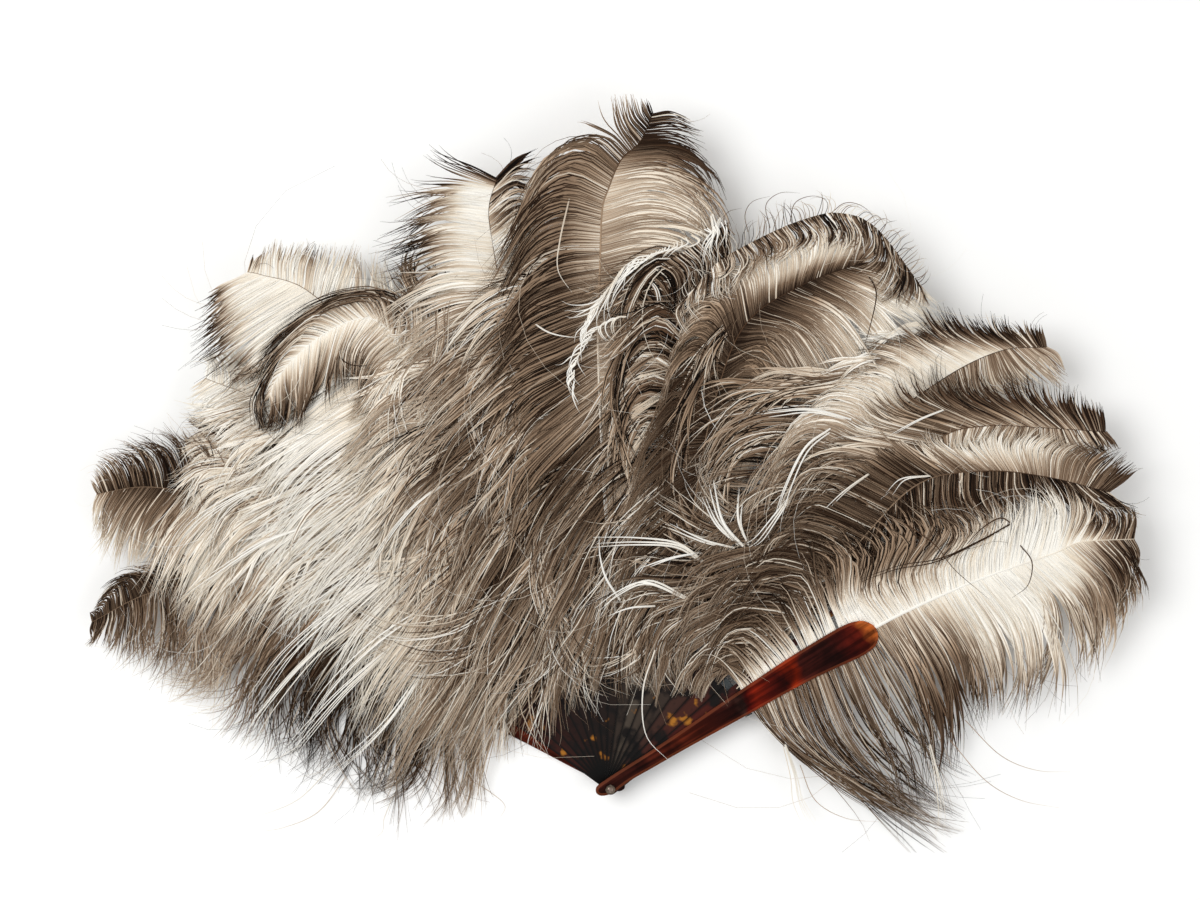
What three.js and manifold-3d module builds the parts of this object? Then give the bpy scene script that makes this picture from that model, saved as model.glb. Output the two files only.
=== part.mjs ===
// A folding feather fan, lying open on its back: two curved guards and sixteen thin sticks of
// mottled shell, one ostrich plume on each, a ribbon that ties the sticks, and the rivet they
// all turn on. Millimetres, +Z up. The rivet stands on the Z axis and z = 0 is the flat back.
import * as THREE from "three";
import { mergeVertices } from "three/addons/utils/BufferGeometryUtils.js";
import Module from "manifold-3d";

const wasm = await Module();
wasm.setup();

// How far the fan opens, and what it is made of.
const INNER_STICKS = 16;
const FRONT_GUARD_ANGLE = 31.5;
const OPENING_ANGLE = 119;

// The layers. Each stick and its plume keep to a layer of their own, so that they pass over
// each other as the fan folds.
const RIB_THICKNESS = 0.55;
const VANE_THICKNESS = 0.32;
const LAYER_GAP = 0.12;
const TIP_GAP = 0.2;
const GUARD_THICKNESS = 2.2;
const GUARD_BEVEL_WIDTH = 1.8;
const GUARD_BEVEL_DEPTH = 0.8;

// The guards, with each place's outer and inner edge from the rivet's centre line: the head by
// its distance from the rivet, the tip by its distance back from the end, and the blade between
// them by its share of the way.
const GUARD_REACH = 209.5;
const GUARD_BUTT = 9.4;
const GUARD_HEAD = [
  [6.3, 2.4, 7.4],
  [14.7, 1.8, 7.6],
];
const GUARD_BLADE = [
  [0.1, 2.4, 7.8],
  [0.24, 3.1, 8.7],
  [0.48, 5.2, 10.8],
  [0.74, 7.1, 12.7],
  [0.89, 9.9, 12.7],
];
const GUARD_TIP = [
  [14.7, 12.0, 11.7],
  [4.2, 9.6, 7.4],
];
const GUARD_HEAD_OUTER = 2.9;
const GUARD_HEAD_INNER = 7.1;
const GUARD_BUTT_OUTER = 0.4;
const GUARD_BUTT_INNER = 6.2;

// The inner sticks: a broad blade up to the gorge's end, then a narrow rib under the plume.
const GORGE_LENGTH = 103;
const STICK_REACH = 200;
const STICK_BUTT = 3.8;
const STICK_HEAD_WIDTH = 8;
const STICK_WAIST_WIDTH = 8.6;
const STICK_GORGE_WIDTH = 13.2;
const STICK_WAIST_AT = 46;
const RIB_BASE_WIDTH = 6;
const RIB_TIP_WIDTH = 3.6;
const RIB_ROOT = 52;

// The ribbon, in one link for each gap between two sticks.
const RIBBON_WIDTH = 5;
const RIBBON_THICKNESS = 0.2;
const SEAT_CLEARANCE = 0.4;

// The rivet and its two lobed washers.
const PIN_RADIUS = 1.2;
const PIN_CLEARANCE = 0.3;
const PIN_HEAD_RADIUS = 1.9;
const PIN_HEAD_HEIGHT = 0.6;
const WASHER_RADIUS = 3.4;
const WASHER_LOBE = 0.35;
const WASHER_LOBES = 8;
const WASHER_THICKNESS = 0.7;

// Past the sticks the plumes swell in one common crown and rise towards their tips: [distance
// past its start, rise], and then steadily out to past the longest tip.
const DISH_START_PAST_STICKS = 4;
const DISH = [
  [0, 0],
  [34, 10],
  [80, 15],
  [130, 17],
  [190, 26],
];
const DISH_EDGE_SLOPE = 0.315;
const DISH_SIDES = 100;

// A plume's shaft stands proud of its vane past the sticks' tips.
const SHAFT_RISE = 0.3;
const SHAFT_FOOT_WIDTH = 4;
const SHAFT_TIP_WIDTH = 1;
const SHAFT_STEPS = 10;
const LOBES = 9;
const NOTCH = 0.86;

// Barb lengths and leans at five places from a plume's foot to its tip.
const PLACES = [0, 0.3, 0.6, 0.85, 1];
const EVEN = { lengths: [62, 86, 84, 52, 8], leans: [76, 70, 62, 50, 22] };
const SLIM = { lengths: [50, 62, 60, 42, 8], leans: [74, 66, 58, 46, 20] };
const FULL = { lengths: [66, 96, 96, 62, 8], leans: [78, 74, 66, 52, 22] };
const CREST = { lengths: [62, 90, 84, 36, 6], leans: [78, 72, 64, 48, 22] };
const HANGING_LEFT = { lengths: [80, 94, 74, 42, 6], leans: [112, 82, 60, 46, 20] };
const HANGING_RIGHT = { lengths: [80, 118, 88, 46, 6], leans: [84, 84, 84, 76, 30] };

// One plume for each stick, from the rear guard round to the front guard: how far its tip lies
// from the rivet, how far it swings past its stick (degrees, left is positive), how far out the
// shaft starts to bend, and the vane on each side.
const PLUMES = [
  { reach: 368, swing: 10, bend: 250, left: HANGING_LEFT, right: SLIM },
  { reach: 394, swing: 5.6, bend: 290, left: EVEN, right: EVEN },
  { reach: 380, swing: 2, bend: 290, left: SLIM, right: SLIM },
  { reach: 388, swing: 2, bend: 290, left: EVEN, right: SLIM },
  { reach: 424, swing: 3, bend: 320, left: EVEN, right: EVEN },
  { reach: 372, swing: 12, bend: 360, left: SLIM, right: SLIM },
  { reach: 396, swing: 3, bend: 290, left: SLIM, right: SLIM },
  { reach: 428, swing: -1.5, bend: 300, left: FULL, right: EVEN },
  { reach: 414, swing: 2, bend: 290, left: EVEN, right: SLIM },
  { reach: 456, swing: -2, bend: 320, left: CREST, right: CREST },
  { reach: 372, swing: -4, bend: 280, left: EVEN, right: SLIM },
  { reach: 392, swing: -3, bend: 290, left: SLIM, right: SLIM },
  { reach: 404, swing: -2, bend: 320, left: EVEN, right: EVEN },
  { reach: 396, swing: -4, bend: 300, left: SLIM, right: SLIM },
  { reach: 415, swing: -7, bend: 290, left: SLIM, right: SLIM },
  { reach: 416, swing: -9, bend: 280, left: SLIM, right: SLIM },
  { reach: 398, swing: -7.6, bend: 280, left: EVEN, right: EVEN },
  { reach: 386, swing: -6, bend: 280, left: SLIM, right: HANGING_RIGHT },
];

const SHELL = { color: 0x4a1c10, roughness: 0.25, metalness: 0 };
const DARK_SHELL = { color: 0x231813, roughness: 0.3, metalness: 0 };
const PLUME = { color: 0xb5a48f, roughness: 0.8, metalness: 0 };
const RIBBON = { color: 0x1b2426, roughness: 0.6, metalness: 0 };
const PIN = { color: 0xb8a79b, roughness: 0.35, metalness: 0.8 };
const WASHER = { color: 0x4d453c, roughness: 0.45, metalness: 0.8 };

// Heights that follow from the layers.
const PITCH = RIB_THICKNESS + VANE_THICKNESS + 2 * LAYER_GAP;
const LAST = INNER_STICKS + 1;
const FIRST_RIB = GUARD_THICKNESS + 2 * VANE_THICKNESS + 3 * LAYER_GAP;
const ribHeight = (k) => FIRST_RIB + (k - 1) * PITCH;
const vaneBelowRib = (k) => ribHeight(k) - LAYER_GAP - VANE_THICKNESS;
const vaneHeight = (k) => (k === 0 ? GUARD_THICKNESS + LAYER_GAP : vaneBelowRib(k));
const FAN_TOP = ribHeight(LAST) + GUARD_THICKNESS;
const STEP_ANGLE = OPENING_ANGLE / LAST;
const stickAngle = (k) => FRONT_GUARD_ANGLE + OPENING_ANGLE - k * STEP_ANGLE;
const RIBBON_START = GORGE_LENGTH + SEAT_CLEARANCE;
const QUILL_START = RIBBON_START + RIBBON_WIDTH + SEAT_CLEARANCE;
const VANE_STEP = Math.max(GUARD_REACH, STICK_REACH) + 2 * SEAT_CLEARANCE;
const DISH_START = VANE_STEP + DISH_START_PAST_STICKS;
const LONGEST_PLUME = Math.max(...PLUMES.map((p) => p.reach));
const [DISH_RUN, DISH_RISE] = DISH[DISH.length - 1];
const DISH_END = Math.max(LONGEST_PLUME, DISH_START + DISH_RUN) + EVEN.lengths[0];
const DISH_TOP = DISH_RISE + DISH_EDGE_SLOPE * (DISH_END - DISH_START - DISH_RUN);
const rad = THREE.MathUtils.degToRad;

// A closed geometry as a solid that can be joined and cut, and back again.
function solid(geometry) {
  const bare = geometry.clone();
  bare.deleteAttribute("normal");
  bare.deleteAttribute("uv");
  const merged = mergeVertices(bare, 1e-4);
  return new wasm.Manifold(
    new wasm.Mesh({
      numProp: 3,
      vertProperties: merged.getAttribute("position").array,
      triVerts: new Uint32Array(merged.index.array),
    }),
  );
}

function geometry(body) {
  const mesh = body.getMesh();
  const made = new THREE.BufferGeometry();
  made.setAttribute("position", new THREE.BufferAttribute(mesh.vertProperties, 3));
  made.setIndex(new THREE.BufferAttribute(mesh.triVerts, 1));
  made.computeVertexNormals();
  return made;
}

// A flat outline raised from one height to another.
function plate(points, bottom, top) {
  const shape = new THREE.Shape(points);
  const made = new THREE.ExtrudeGeometry(shape, { depth: top - bottom, bevelEnabled: false });
  return made.translate(0, 0, bottom);
}

const point = (x, y) => new THREE.Vector2(x, y);

function pinHole() {
  const radius = PIN_RADIUS + PIN_CLEARANCE;
  const hole = new THREE.CylinderGeometry(radius, radius, 3 * FAN_TOP, 24);
  return solid(hole.rotateX(Math.PI / 2));
}

// The guard's outline, with its pivot at the origin and its tip along +X. Its outer edge lies
// on the side that the sign gives.
function guardOutline(outerSide) {
  const outer = [point(-0.8 * GUARD_BUTT, GUARD_BUTT_OUTER), point(0, GUARD_HEAD_OUTER)];
  const inner = [point(-0.8 * GUARD_BUTT, GUARD_BUTT_INNER), point(0, GUARD_HEAD_INNER)];
  const bladeStart = GUARD_HEAD[GUARD_HEAD.length - 1][0];
  const bladeEnd = GUARD_REACH - GUARD_TIP[0][0];
  const places = [
    ...GUARD_HEAD,
    ...GUARD_BLADE.map(([share, ...edges]) => [bladeStart + share * (bladeEnd - bladeStart), ...edges]),
    ...GUARD_TIP.map(([back, ...edges]) => [GUARD_REACH - back, ...edges]),
  ];
  for (const [along, out, into] of places) {
    outer.push(point(along, out));
    inner.push(point(along, into));
  }
  const loop = [point(-GUARD_BUTT, (GUARD_BUTT_OUTER - GUARD_BUTT_INNER) / 2)];
  outer.forEach((p) => loop.push(p));
  loop.push(point(GUARD_REACH, 1));
  inner.reverse().forEach((p) => loop.push(point(p.x, -p.y)));
  const curve = new THREE.CatmullRomCurve3(
    loop.map((p) => new THREE.Vector3(p.x, p.y * outerSide, 0)),
    true,
    "centripetal",
  );
  return curve.getPoints(3 * loop.length).slice(0, -1).map((p) => point(p.x, p.y));
}

// A guard lies between two heights and is bevelled all round on its outer face. Near the rivet
// it is thicker on the inside by one vane, to bear on the sticks' blades.
function guard(outerSide, bottom, facesUp) {
  const extra = LAYER_GAP + VANE_THICKNESS;
  const straight = extra + GUARD_THICKNESS - GUARD_BEVEL_DEPTH;
  const both = new THREE.ExtrudeGeometry(new THREE.Shape(guardOutline(outerSide)), {
    depth: 2 * straight,
    bevelThickness: GUARD_BEVEL_DEPTH,
    bevelSize: GUARD_BEVEL_WIDTH,
    bevelOffset: -GUARD_BEVEL_WIDTH,
    bevelSegments: 1,
  });
  const up = facesUp ? 1 : -1;
  const size = 4 * GUARD_REACH;
  const half = new THREE.BoxGeometry(size, size, size).translate(0, 0, -up * (extra + size / 2));
  const thin = new THREE.BoxGeometry(size, size, size).translate(GORGE_LENGTH + size / 2, 0, (-up * size) / 2);
  const middle = -straight - up * extra;
  const body = solid(both.translate(0, 0, middle)).subtract(solid(half)).subtract(solid(thin));
  return geometry(body.subtract(pinHole())).translate(0, 0, bottom);
}

// An inner stick: blade and rib from one sheet, the blade thicker by one vane.
function stick(k) {
  const top = ribHeight(k) + RIB_THICKNESS;
  const blade = [];
  const round = STICK_HEAD_WIDTH / 2;
  const butt = Math.min(STICK_BUTT, round);
  for (let i = 0; i <= 8; i++) {
    const turn = Math.PI / 2 + (i * Math.PI) / 8;
    blade.push(point(butt * Math.cos(turn), round * Math.sin(turn)));
  }
  blade.push(point(STICK_WAIST_AT, -STICK_WAIST_WIDTH / 2));
  blade.push(point(GORGE_LENGTH, -STICK_GORGE_WIDTH / 2));
  blade.push(point(GORGE_LENGTH, STICK_GORGE_WIDTH / 2));
  blade.push(point(STICK_WAIST_AT, STICK_WAIST_WIDTH / 2));
  const rib = [];
  rib.push(point(RIB_ROOT, -RIB_BASE_WIDTH / 2));
  rib.push(point(GORGE_LENGTH, -RIB_BASE_WIDTH / 2));
  const tip = RIB_TIP_WIDTH / 2;
  for (let i = 0; i <= 6; i++) {
    const turn = -Math.PI / 2 + (i * Math.PI) / 6;
    rib.push(point(STICK_REACH - tip + tip * Math.cos(turn), tip * Math.sin(turn)));
  }
  rib.push(point(GORGE_LENGTH, RIB_BASE_WIDTH / 2));
  rib.push(point(RIB_ROOT, RIB_BASE_WIDTH / 2));
  const body = solid(plate(blade, vaneHeight(k), top)).add(solid(plate(rib, ribHeight(k), top)));
  return geometry(body.subtract(pinHole()));
}

// A link of ribbon lies under its stick's rib and reaches half way to each neighbour.
function ribbonLink(k) {
  const half = rad(STEP_ANGLE) / 2;
  const steps = 4;
  const loop = [];
  for (let i = 0; i <= steps; i++) {
    const turn = -half + (2 * half * i) / steps;
    loop.push(point(RIBBON_START * Math.cos(turn), RIBBON_START * Math.sin(turn)));
  }
  for (let i = steps; i >= 0; i--) {
    const turn = -half + (2 * half * i) / steps;
    const far = RIBBON_START + RIBBON_WIDTH;
    loop.push(point(far * Math.cos(turn), far * Math.sin(turn)));
  }
  const middle = vaneHeight(k) + VANE_THICKNESS / 2;
  return plate(loop.reverse(), middle - RIBBON_THICKNESS / 2, middle + RIBBON_THICKNESS / 2);
}

// The sheet that a plume is cut from: thin under the ribs, thicker past them, then a dish. The
// vane is lower than the shaft where it is thicker.
function plumeSheet(k, drop) {
  const bottom = vaneHeight(k);
  const top = bottom + VANE_THICKNESS;
  const high = vaneHeight(k + 1) - TIP_GAP;
  const low = high - PITCH + TIP_GAP;
  const under = [
    [QUILL_START / 2, bottom],
    [VANE_STEP, bottom],
    [VANE_STEP + SEAT_CLEARANCE, low],
  ];
  const over = [
    [QUILL_START / 2, top],
    [VANE_STEP, top],
    [VANE_STEP + SEAT_CLEARANCE, high - drop],
  ];
  for (const [past, rise] of DISH) {
    under.push([DISH_START + past, low + rise]);
    over.push([DISH_START + past, high - drop + rise]);
  }
  under.push([DISH_END, low + DISH_TOP]);
  over.push([DISH_END, high - drop + DISH_TOP]);
  const loop = [...under, ...over.reverse(), under[0]].map(([r, z]) => point(r, z));
  return solid(new THREE.LatheGeometry(loop, DISH_SIDES).rotateX(Math.PI / 2));
}

// A value read between the five places along a plume.
function between(values, share) {
  let i = 0;
  while (i < PLACES.length - 2 && share > PLACES[i + 1]) i++;
  const part = (share - PLACES[i]) / (PLACES[i + 1] - PLACES[i]);
  return values[i] + (values[i + 1] - values[i]) * part;
}

// A plume's shaft runs straight along its stick, then bends to its tip.
function plumeShaft({ reach, swing, bend }) {
  const tip = point(reach * Math.cos(rad(swing)), reach * Math.sin(rad(swing)));
  return new THREE.QuadraticBezierCurve(point(QUILL_START, 0), point(bend, 0), tip);
}

// A point at a slant from the shaft.
function beside(shaft, share, lean, length) {
  const foot = shaft.getPoint(share);
  const turn = shaft.getTangent(share).angle() + rad(lean);
  return point(foot.x + length * Math.cos(turn), foot.y + length * Math.sin(turn));
}

// The outline of a plume: the ends of its barbs up one side and down the other.
function plumeOutline(shaft, { left, right }) {
  const edge = (side, vane) => {
    const points = [beside(shaft, 0, side * 90, SHAFT_FOOT_WIDTH / 2)];
    for (let i = 0; i <= 2 * LOBES; i++) {
      const share = i / (2 * LOBES);
      const length = between(vane.lengths, share) * (i % 2 ? NOTCH : 1);
      points.push(beside(shaft, share, side * between(vane.leans, share), length));
    }
    return points;
  };
  return [...edge(-1, right), shaft.getPoint(1), ...edge(1, left).reverse()];
}

function shaftOutline(shaft) {
  const edge = (side) => {
    const points = [];
    for (let i = 0; i <= SHAFT_STEPS; i++) {
      const share = i / SHAFT_STEPS;
      const width = SHAFT_FOOT_WIDTH + (SHAFT_TIP_WIDTH - SHAFT_FOOT_WIDTH) * share;
      points.push(beside(shaft, share, side * 90, width / 2));
    }
    return points;
  };
  return [...edge(-1), ...edge(1).reverse()];
}

function plume(k) {
  const tallest = FAN_TOP + DISH_TOP;
  const form = k === LAST ? PLUMES[PLUMES.length - 1] : PLUMES[k % (PLUMES.length - 1)];
  const shaft = plumeShaft(form);
  const vaneCutter = solid(plate(plumeOutline(shaft, form), -tallest, 2 * tallest));
  const shaftCutter = solid(plate(shaftOutline(shaft), -tallest, 2 * tallest));
  const inner = new THREE.CylinderGeometry(QUILL_START, QUILL_START, 6 * tallest, DISH_SIDES);
  const vane = plumeSheet(k, SHAFT_RISE).intersect(vaneCutter);
  const ridge = plumeSheet(k, 0).intersect(shaftCutter);
  return geometry(vane.add(ridge).subtract(solid(inner.rotateX(Math.PI / 2))));
}

// A washer with a scalloped rim.
function washer(bottom) {
  const steps = 6 * WASHER_LOBES;
  const rim = [];
  for (let i = 0; i < steps; i++) {
    const turn = (2 * Math.PI * i) / steps;
    const radius = WASHER_RADIUS - WASHER_LOBE * (1 - Math.cos(WASHER_LOBES * turn)) * 0.5;
    rim.push(point(radius * Math.cos(turn), radius * Math.sin(turn)));
  }
  const body = solid(plate(rim, bottom, bottom + WASHER_THICKNESS));
  return geometry(body.subtract(pinHole()));
}

// The rear washer sits in a pocket of the rear guard's back.
function washerPocket() {
  const radius = WASHER_RADIUS + PIN_CLEARANCE;
  const depth = WASHER_THICKNESS + LAYER_GAP;
  const pocket = new THREE.CylinderGeometry(radius, radius, 2 * depth, 40);
  return solid(pocket.rotateX(Math.PI / 2));
}

function pin() {
  const seat = FAN_TOP + 2 * LAYER_GAP + WASHER_THICKNESS;
  const profile = [
    point(0, 0),
    point(PIN_RADIUS, 0),
    point(PIN_RADIUS, seat),
    point(PIN_HEAD_RADIUS, seat),
    point(PIN_HEAD_RADIUS, seat + 0.4 * PIN_HEAD_HEIGHT),
    point(0.6 * PIN_HEAD_RADIUS, seat + PIN_HEAD_HEIGHT),
    point(0, seat + PIN_HEAD_HEIGHT),
  ];
  return new THREE.LatheGeometry(profile, 24).rotateX(Math.PI / 2);
}

const fan = new THREE.Group();

function place(parent, name, made, look) {
  const mesh = new THREE.Mesh(made, new THREE.MeshStandardMaterial(look));
  mesh.name = name;
  parent.add(mesh);
}

const numbered = (name, k) => name + "_" + String(k).padStart(2, "0");

for (let k = 0; k <= LAST; k++) {
  const arm = new THREE.Group();
  arm.rotation.z = rad(stickAngle(k));
  fan.add(arm);
  if (k === 0) {
    const back = solid(guard(1, GUARD_THICKNESS, false)).subtract(washerPocket());
    place(arm, "rear_guard", geometry(back), SHELL);
  } else if (k === LAST) {
    place(arm, "front_guard", guard(-1, ribHeight(k), true), SHELL);
  } else {
    place(arm, numbered("stick", k), stick(k), DARK_SHELL);
  }
  place(arm, numbered("plume", k), plume(k), PLUME);
  if (k > 0) {
    place(arm, numbered("ribbon", k), ribbonLink(k), RIBBON);
  }
}
place(fan, "rivet", pin(), PIN);
place(fan, "rear_washer", washer(0), WASHER);
place(fan, "front_washer", washer(FAN_TOP + LAYER_GAP), WASHER);

export default fan;
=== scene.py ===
import math
import bpy
import numpy as np
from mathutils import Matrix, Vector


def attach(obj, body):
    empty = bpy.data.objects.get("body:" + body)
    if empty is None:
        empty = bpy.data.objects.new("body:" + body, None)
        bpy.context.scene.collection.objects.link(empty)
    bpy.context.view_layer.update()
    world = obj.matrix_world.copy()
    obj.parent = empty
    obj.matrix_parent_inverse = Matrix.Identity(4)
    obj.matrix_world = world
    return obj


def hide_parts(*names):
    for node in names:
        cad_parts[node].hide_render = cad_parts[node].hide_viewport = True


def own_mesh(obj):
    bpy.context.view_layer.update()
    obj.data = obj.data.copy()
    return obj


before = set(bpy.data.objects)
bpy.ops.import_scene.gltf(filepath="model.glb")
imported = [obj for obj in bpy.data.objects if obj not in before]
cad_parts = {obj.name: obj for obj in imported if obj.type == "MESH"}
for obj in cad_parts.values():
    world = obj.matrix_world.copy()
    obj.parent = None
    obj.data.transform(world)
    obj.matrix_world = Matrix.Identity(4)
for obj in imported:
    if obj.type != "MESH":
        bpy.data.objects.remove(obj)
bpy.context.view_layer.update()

# Sizes shared with the solids, in millimetres and degrees.
MM = 0.001
LAST = 17
FIRST_ANGLE = 150.5
STEP_ANGLE = 7.0
FOOT = 108.8
FIRST_VANE = 2.48
SECOND_VANE = 2.92
PITCH = 1.11
DISH = [(0, 0), (214.3, 0), (248.3, 10), (294.3, 15), (344.3, 17), (404.3, 26), (518, 61.8)]
RIBBON_FROM = 103.4
RIBBON_TO = 108.4
RIBBON_HALF = 0.1
GUARD_REACH = 209.5
STICK_HEAD_HALF = 2.1
STICK_SPREAD = 0.0437

# The room that barbs keep to: from the floor up, and from the near left to the far right.
LOWEST = 0.7
HIGHEST = 66.0
NEAR_EDGES = np.array([-364.0, -43.0])
FAR_EDGES = np.array([364.0, 470.0])

# The photograph's frame: millimetres for each pixel at the height where the scale holds, the
# rivet's pixel, and the camera, which looks straight down.
PHOTO_SCALE = 0.6755
SCALE_HEIGHT = 20.0
RIVET_PIXEL = (610.5, 789.0)
CENTRE_PIXEL = (600.0, 450.0)
CAMERA_HEIGHT = 1600.0
SENSOR = 36.0
PHOTO_WIDTH = 1200

# Barbs: how close together, how wide and how tall they are, the rings they bend in and their
# taper. A ridge is the change of tone between a strand's sides and its top.
BARB_PITCH = 0.68
BARB_JITTER = 0.9
BARB_WIDTH = 0.82
BARB_HEIGHT = 0.4
RINGS = 12
SHARES = np.linspace(0, 1, RINGS)
BARB_TAPER = np.clip(1.04 - SHARES**2.8, 0.14, 1)
RIDGE = 0.25
RIDGE_TONES = (0.1, 0.8)

# How barbs leave their guides, by clump, by barb and drifting along the vane: degrees of turn
# and curl, shares of their length, then millimetres of ruffle and the lengths it grows over.
CLUMP_TURN, BARB_TURN, DRIFT_TURN = 3.5, 3, 5
TURN_KNOTS = 9
CURL = 9
LENGTH_CHANGE = 0.07
LENGTH_LIMITS = (0.7, 1.3)
SWAY = 0.045
SWAY_WAVES = 1.7
CLUMP_POWER = 1.4
CLUMP_RUFFLE, BARB_RUFFLE = 1.9, 0.8
RUFFLE_LENGTH = 40
ARCH_LENGTH = 60
TUCK_RUN = 10
FLOOR_SCATTER = 2.5

# How their tones change, by barb and along the vane, and how pale and dark odd barbs are.
BARB_CHANGE, DRIFT_CHANGE = 0.36, 0.1
TONE_KNOTS = 16
LEAST_CHANGE = 0.12
PALER, DARKER = 0.3, 1.25

# Stray barbs: where they begin on the shaft, their swing in degrees, their length and their rise.
STRAY_FROM = 0.12
STRAY_SWING = 38
STRAY_LENGTHS = (1.0, 1.28)
STRAY_RISE = 3
STRAY_WIDTH = 0.45
STRAY_FLATNESS = 0.7
STRAY_TAPER = np.clip(1.1 - SHARES, 0.3, 1)
STRAY_TONES = (-0.3, 0.1)

# The web under the barbs.
WEB_EVERY = 2
WEB_OVERLAP = 1.3
WEB_WIDTHS = (0.9, 4.0)
WEB_DROP = 0.5
WEB_HEIGHT = 0.12
WEB_PALEST, WEB_TINT = 0.03, 0.9
WEB_SHARES = np.linspace(0, 1, 9)
WEB_TAPER = np.clip(1 - WEB_SHARES**3, 0.06, 1)

# Shafts and their quills, fringes and loose locks. A lock whose middle lies below HANGING_BELOW
# hangs down to the floor.
SHAFT_SHARES = np.linspace(0, 1, 90)
QUILL_TAPER = np.linspace(1, 0.16, len(SHAFT_SHARES))
QUILL_FLATNESS = 0.45
QUILL_RISE = 0.4
QUILL_RIDGE = -0.04
QUILL_TONES = (40, 50, 60)
STEM_WIDTH = 1.7
FRINGE_RISE = 9.0
WISP_SHARES = np.linspace(0, 1, 20)
WISP_TAPER = np.clip(1.1 - WISP_SHARES**2, 0.2, 1)
WISP_RISE = 6.0
WISP_ARCH = WISP_RISE * (0.7 + np.sin(np.pi * WISP_SHARES))
WISP_SPREAD = 0.6 + 2.2 * WISP_SHARES[:, None]
WISP_SCATTER = 0.8
WISP_CHANGE = 0.04
WISP_FLATNESS = 0.5
WISP_RIDGE = 0.03
HANGING_BELOW = 40
CURVE_STEPS = 24
SEED = 100

# Plume tones from palest to darkest. Tones of guides, quills and locks are in percent.
PERCENT = 100
TONES = [0, 0.2, 0.42, 0.68, 1]
COLOURS = [(255, 254, 249), (242, 232, 215), (180, 155, 130), (86, 63, 46), (17, 11, 8)]


def linear(colour):
    """A colour of 0 to 255 as linear light."""
    c = np.asarray(colour, float) / 255
    return np.where(c <= 0.04045, c / 12.92, ((c + 0.055) / 1.055) ** 2.4)


LINEAR_COLOURS = np.array([linear(c) for c in COLOURS])


def numbered(name, k):
    return f"{name}_{k:02d}"


def stick_angle(k):
    return math.radians(FIRST_ANGLE - k * STEP_ANGLE)


def vane_height(k):
    return FIRST_VANE if k == 0 else SECOND_VANE + (k - 1) * PITCH


def distance(place):
    """How far places lie from the origin."""
    return np.hypot(place[..., 0], place[..., 1])


def dish(place):
    """How far the fan's crown has risen at places."""
    return np.interp(distance(place), [r for r, _ in DISH], [z for _, z in DISH])


def on_fan(pixels):
    """Photo points as millimetres of the fan's plane, at the height where the scale holds."""
    p = np.asarray(pixels, float)
    x = (p[..., 0] - RIVET_PIXEL[0]) * PHOTO_SCALE
    y = (RIVET_PIXEL[1] - p[..., 1]) * PHOTO_SCALE
    return np.stack([x, y], axis=-1)


CENTRE = on_fan(CENTRE_PIXEL)


def nearer(height):
    """How much smaller a thing has to be at a height to look the same."""
    return (CAMERA_HEIGHT - height) / (CAMERA_HEIGHT - SCALE_HEIGHT)


def at_height(points, height):
    """Points of the scale's plane, moved along the camera's rays to their own heights."""
    return CENTRE + (points - CENTRE) * np.asarray(nearer(height))[..., None]


def seen_at(points, height):
    """The reverse: where points at a height are seen in the scale's plane."""
    return CENTRE + (np.asarray(points) - CENTRE) / nearer(height)


def raised(place, z):
    """Places of the scale's plane as points in space."""
    return np.concatenate([at_height(place, z), z[..., None]], axis=-1)


def turned(path, angle):
    """Points turned about the origin."""
    x = path[..., 0] * np.cos(angle) - path[..., 1] * np.sin(angle)
    y = path[..., 0] * np.sin(angle) + path[..., 1] * np.cos(angle)
    return np.stack([x, y], axis=-1)


def paint(tone):
    """Tones as linear colours."""
    tone = np.clip(tone, 0, 1)
    return np.stack([np.interp(tone, TONES, LINEAR_COLOURS[:, i]) for i in range(3)], axis=-1)


def ramped(tones, shares):
    """Evenly spread tones in percent, read at shares."""
    return np.interp(shares, np.linspace(0, 1, len(tones)), np.divide(tones, PERCENT))


def drift(rng, count, knots):
    """A smooth random line between -1 and 1."""
    return np.interp(np.linspace(0, 1, count), np.linspace(0, 1, knots), rng.uniform(-1, 1, knots))


def smooth_line(points, count):
    """Evenly spaced points on a smooth curve through a few."""
    p = np.asarray(points, float)
    p = np.vstack([2 * p[0] - p[1], p, 2 * p[-1] - p[-2]])
    u = np.linspace(0, 1, CURVE_STEPS, endpoint=False)[:, None]
    line = []
    for a, b, c, d in zip(p, p[1:], p[2:], p[3:]):
        bend = (2 * a - 5 * b + 4 * c - d) * u**2 + (3 * b - a - 3 * c + d) * u**3
        line.append(b + 0.5 * ((c - a) * u + bend))
    line = np.vstack([*line, p[-2]])
    gone = np.concatenate([[0], np.cumsum(np.linalg.norm(np.diff(line, axis=0), axis=1))])
    at = np.linspace(0, gone[-1], count)
    return np.stack([np.interp(at, gone, line[:, i]) for i in range(line.shape[1])], axis=-1)


def between(shares, values, at):
    """Values given at some shares, read at others, for arrays of any shape."""
    values = np.asarray(values, float)
    i = np.clip(np.searchsorted(shares, at) - 1, 0, len(shares) - 2)
    part = (at - np.take(shares, i)) / (np.take(shares, i + 1) - np.take(shares, i))
    part = np.clip(part, 0, 1).reshape(-1, *([1] * (values.ndim - 1)))
    return values[i] * (1 - part) + values[i + 1] * part


def kept_in(place):
    """Barbs shortened where they would pass the edges of the fan's room."""
    root = place[:, :1]
    step = place - root
    room = np.where(step > 0, FAR_EDGES - root, root - NEAR_EDGES)
    share = np.clip(room / np.maximum(np.abs(step), 0.001), 0, 1).min(axis=(1, 2))
    return root + step * share[:, None, None]


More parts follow.
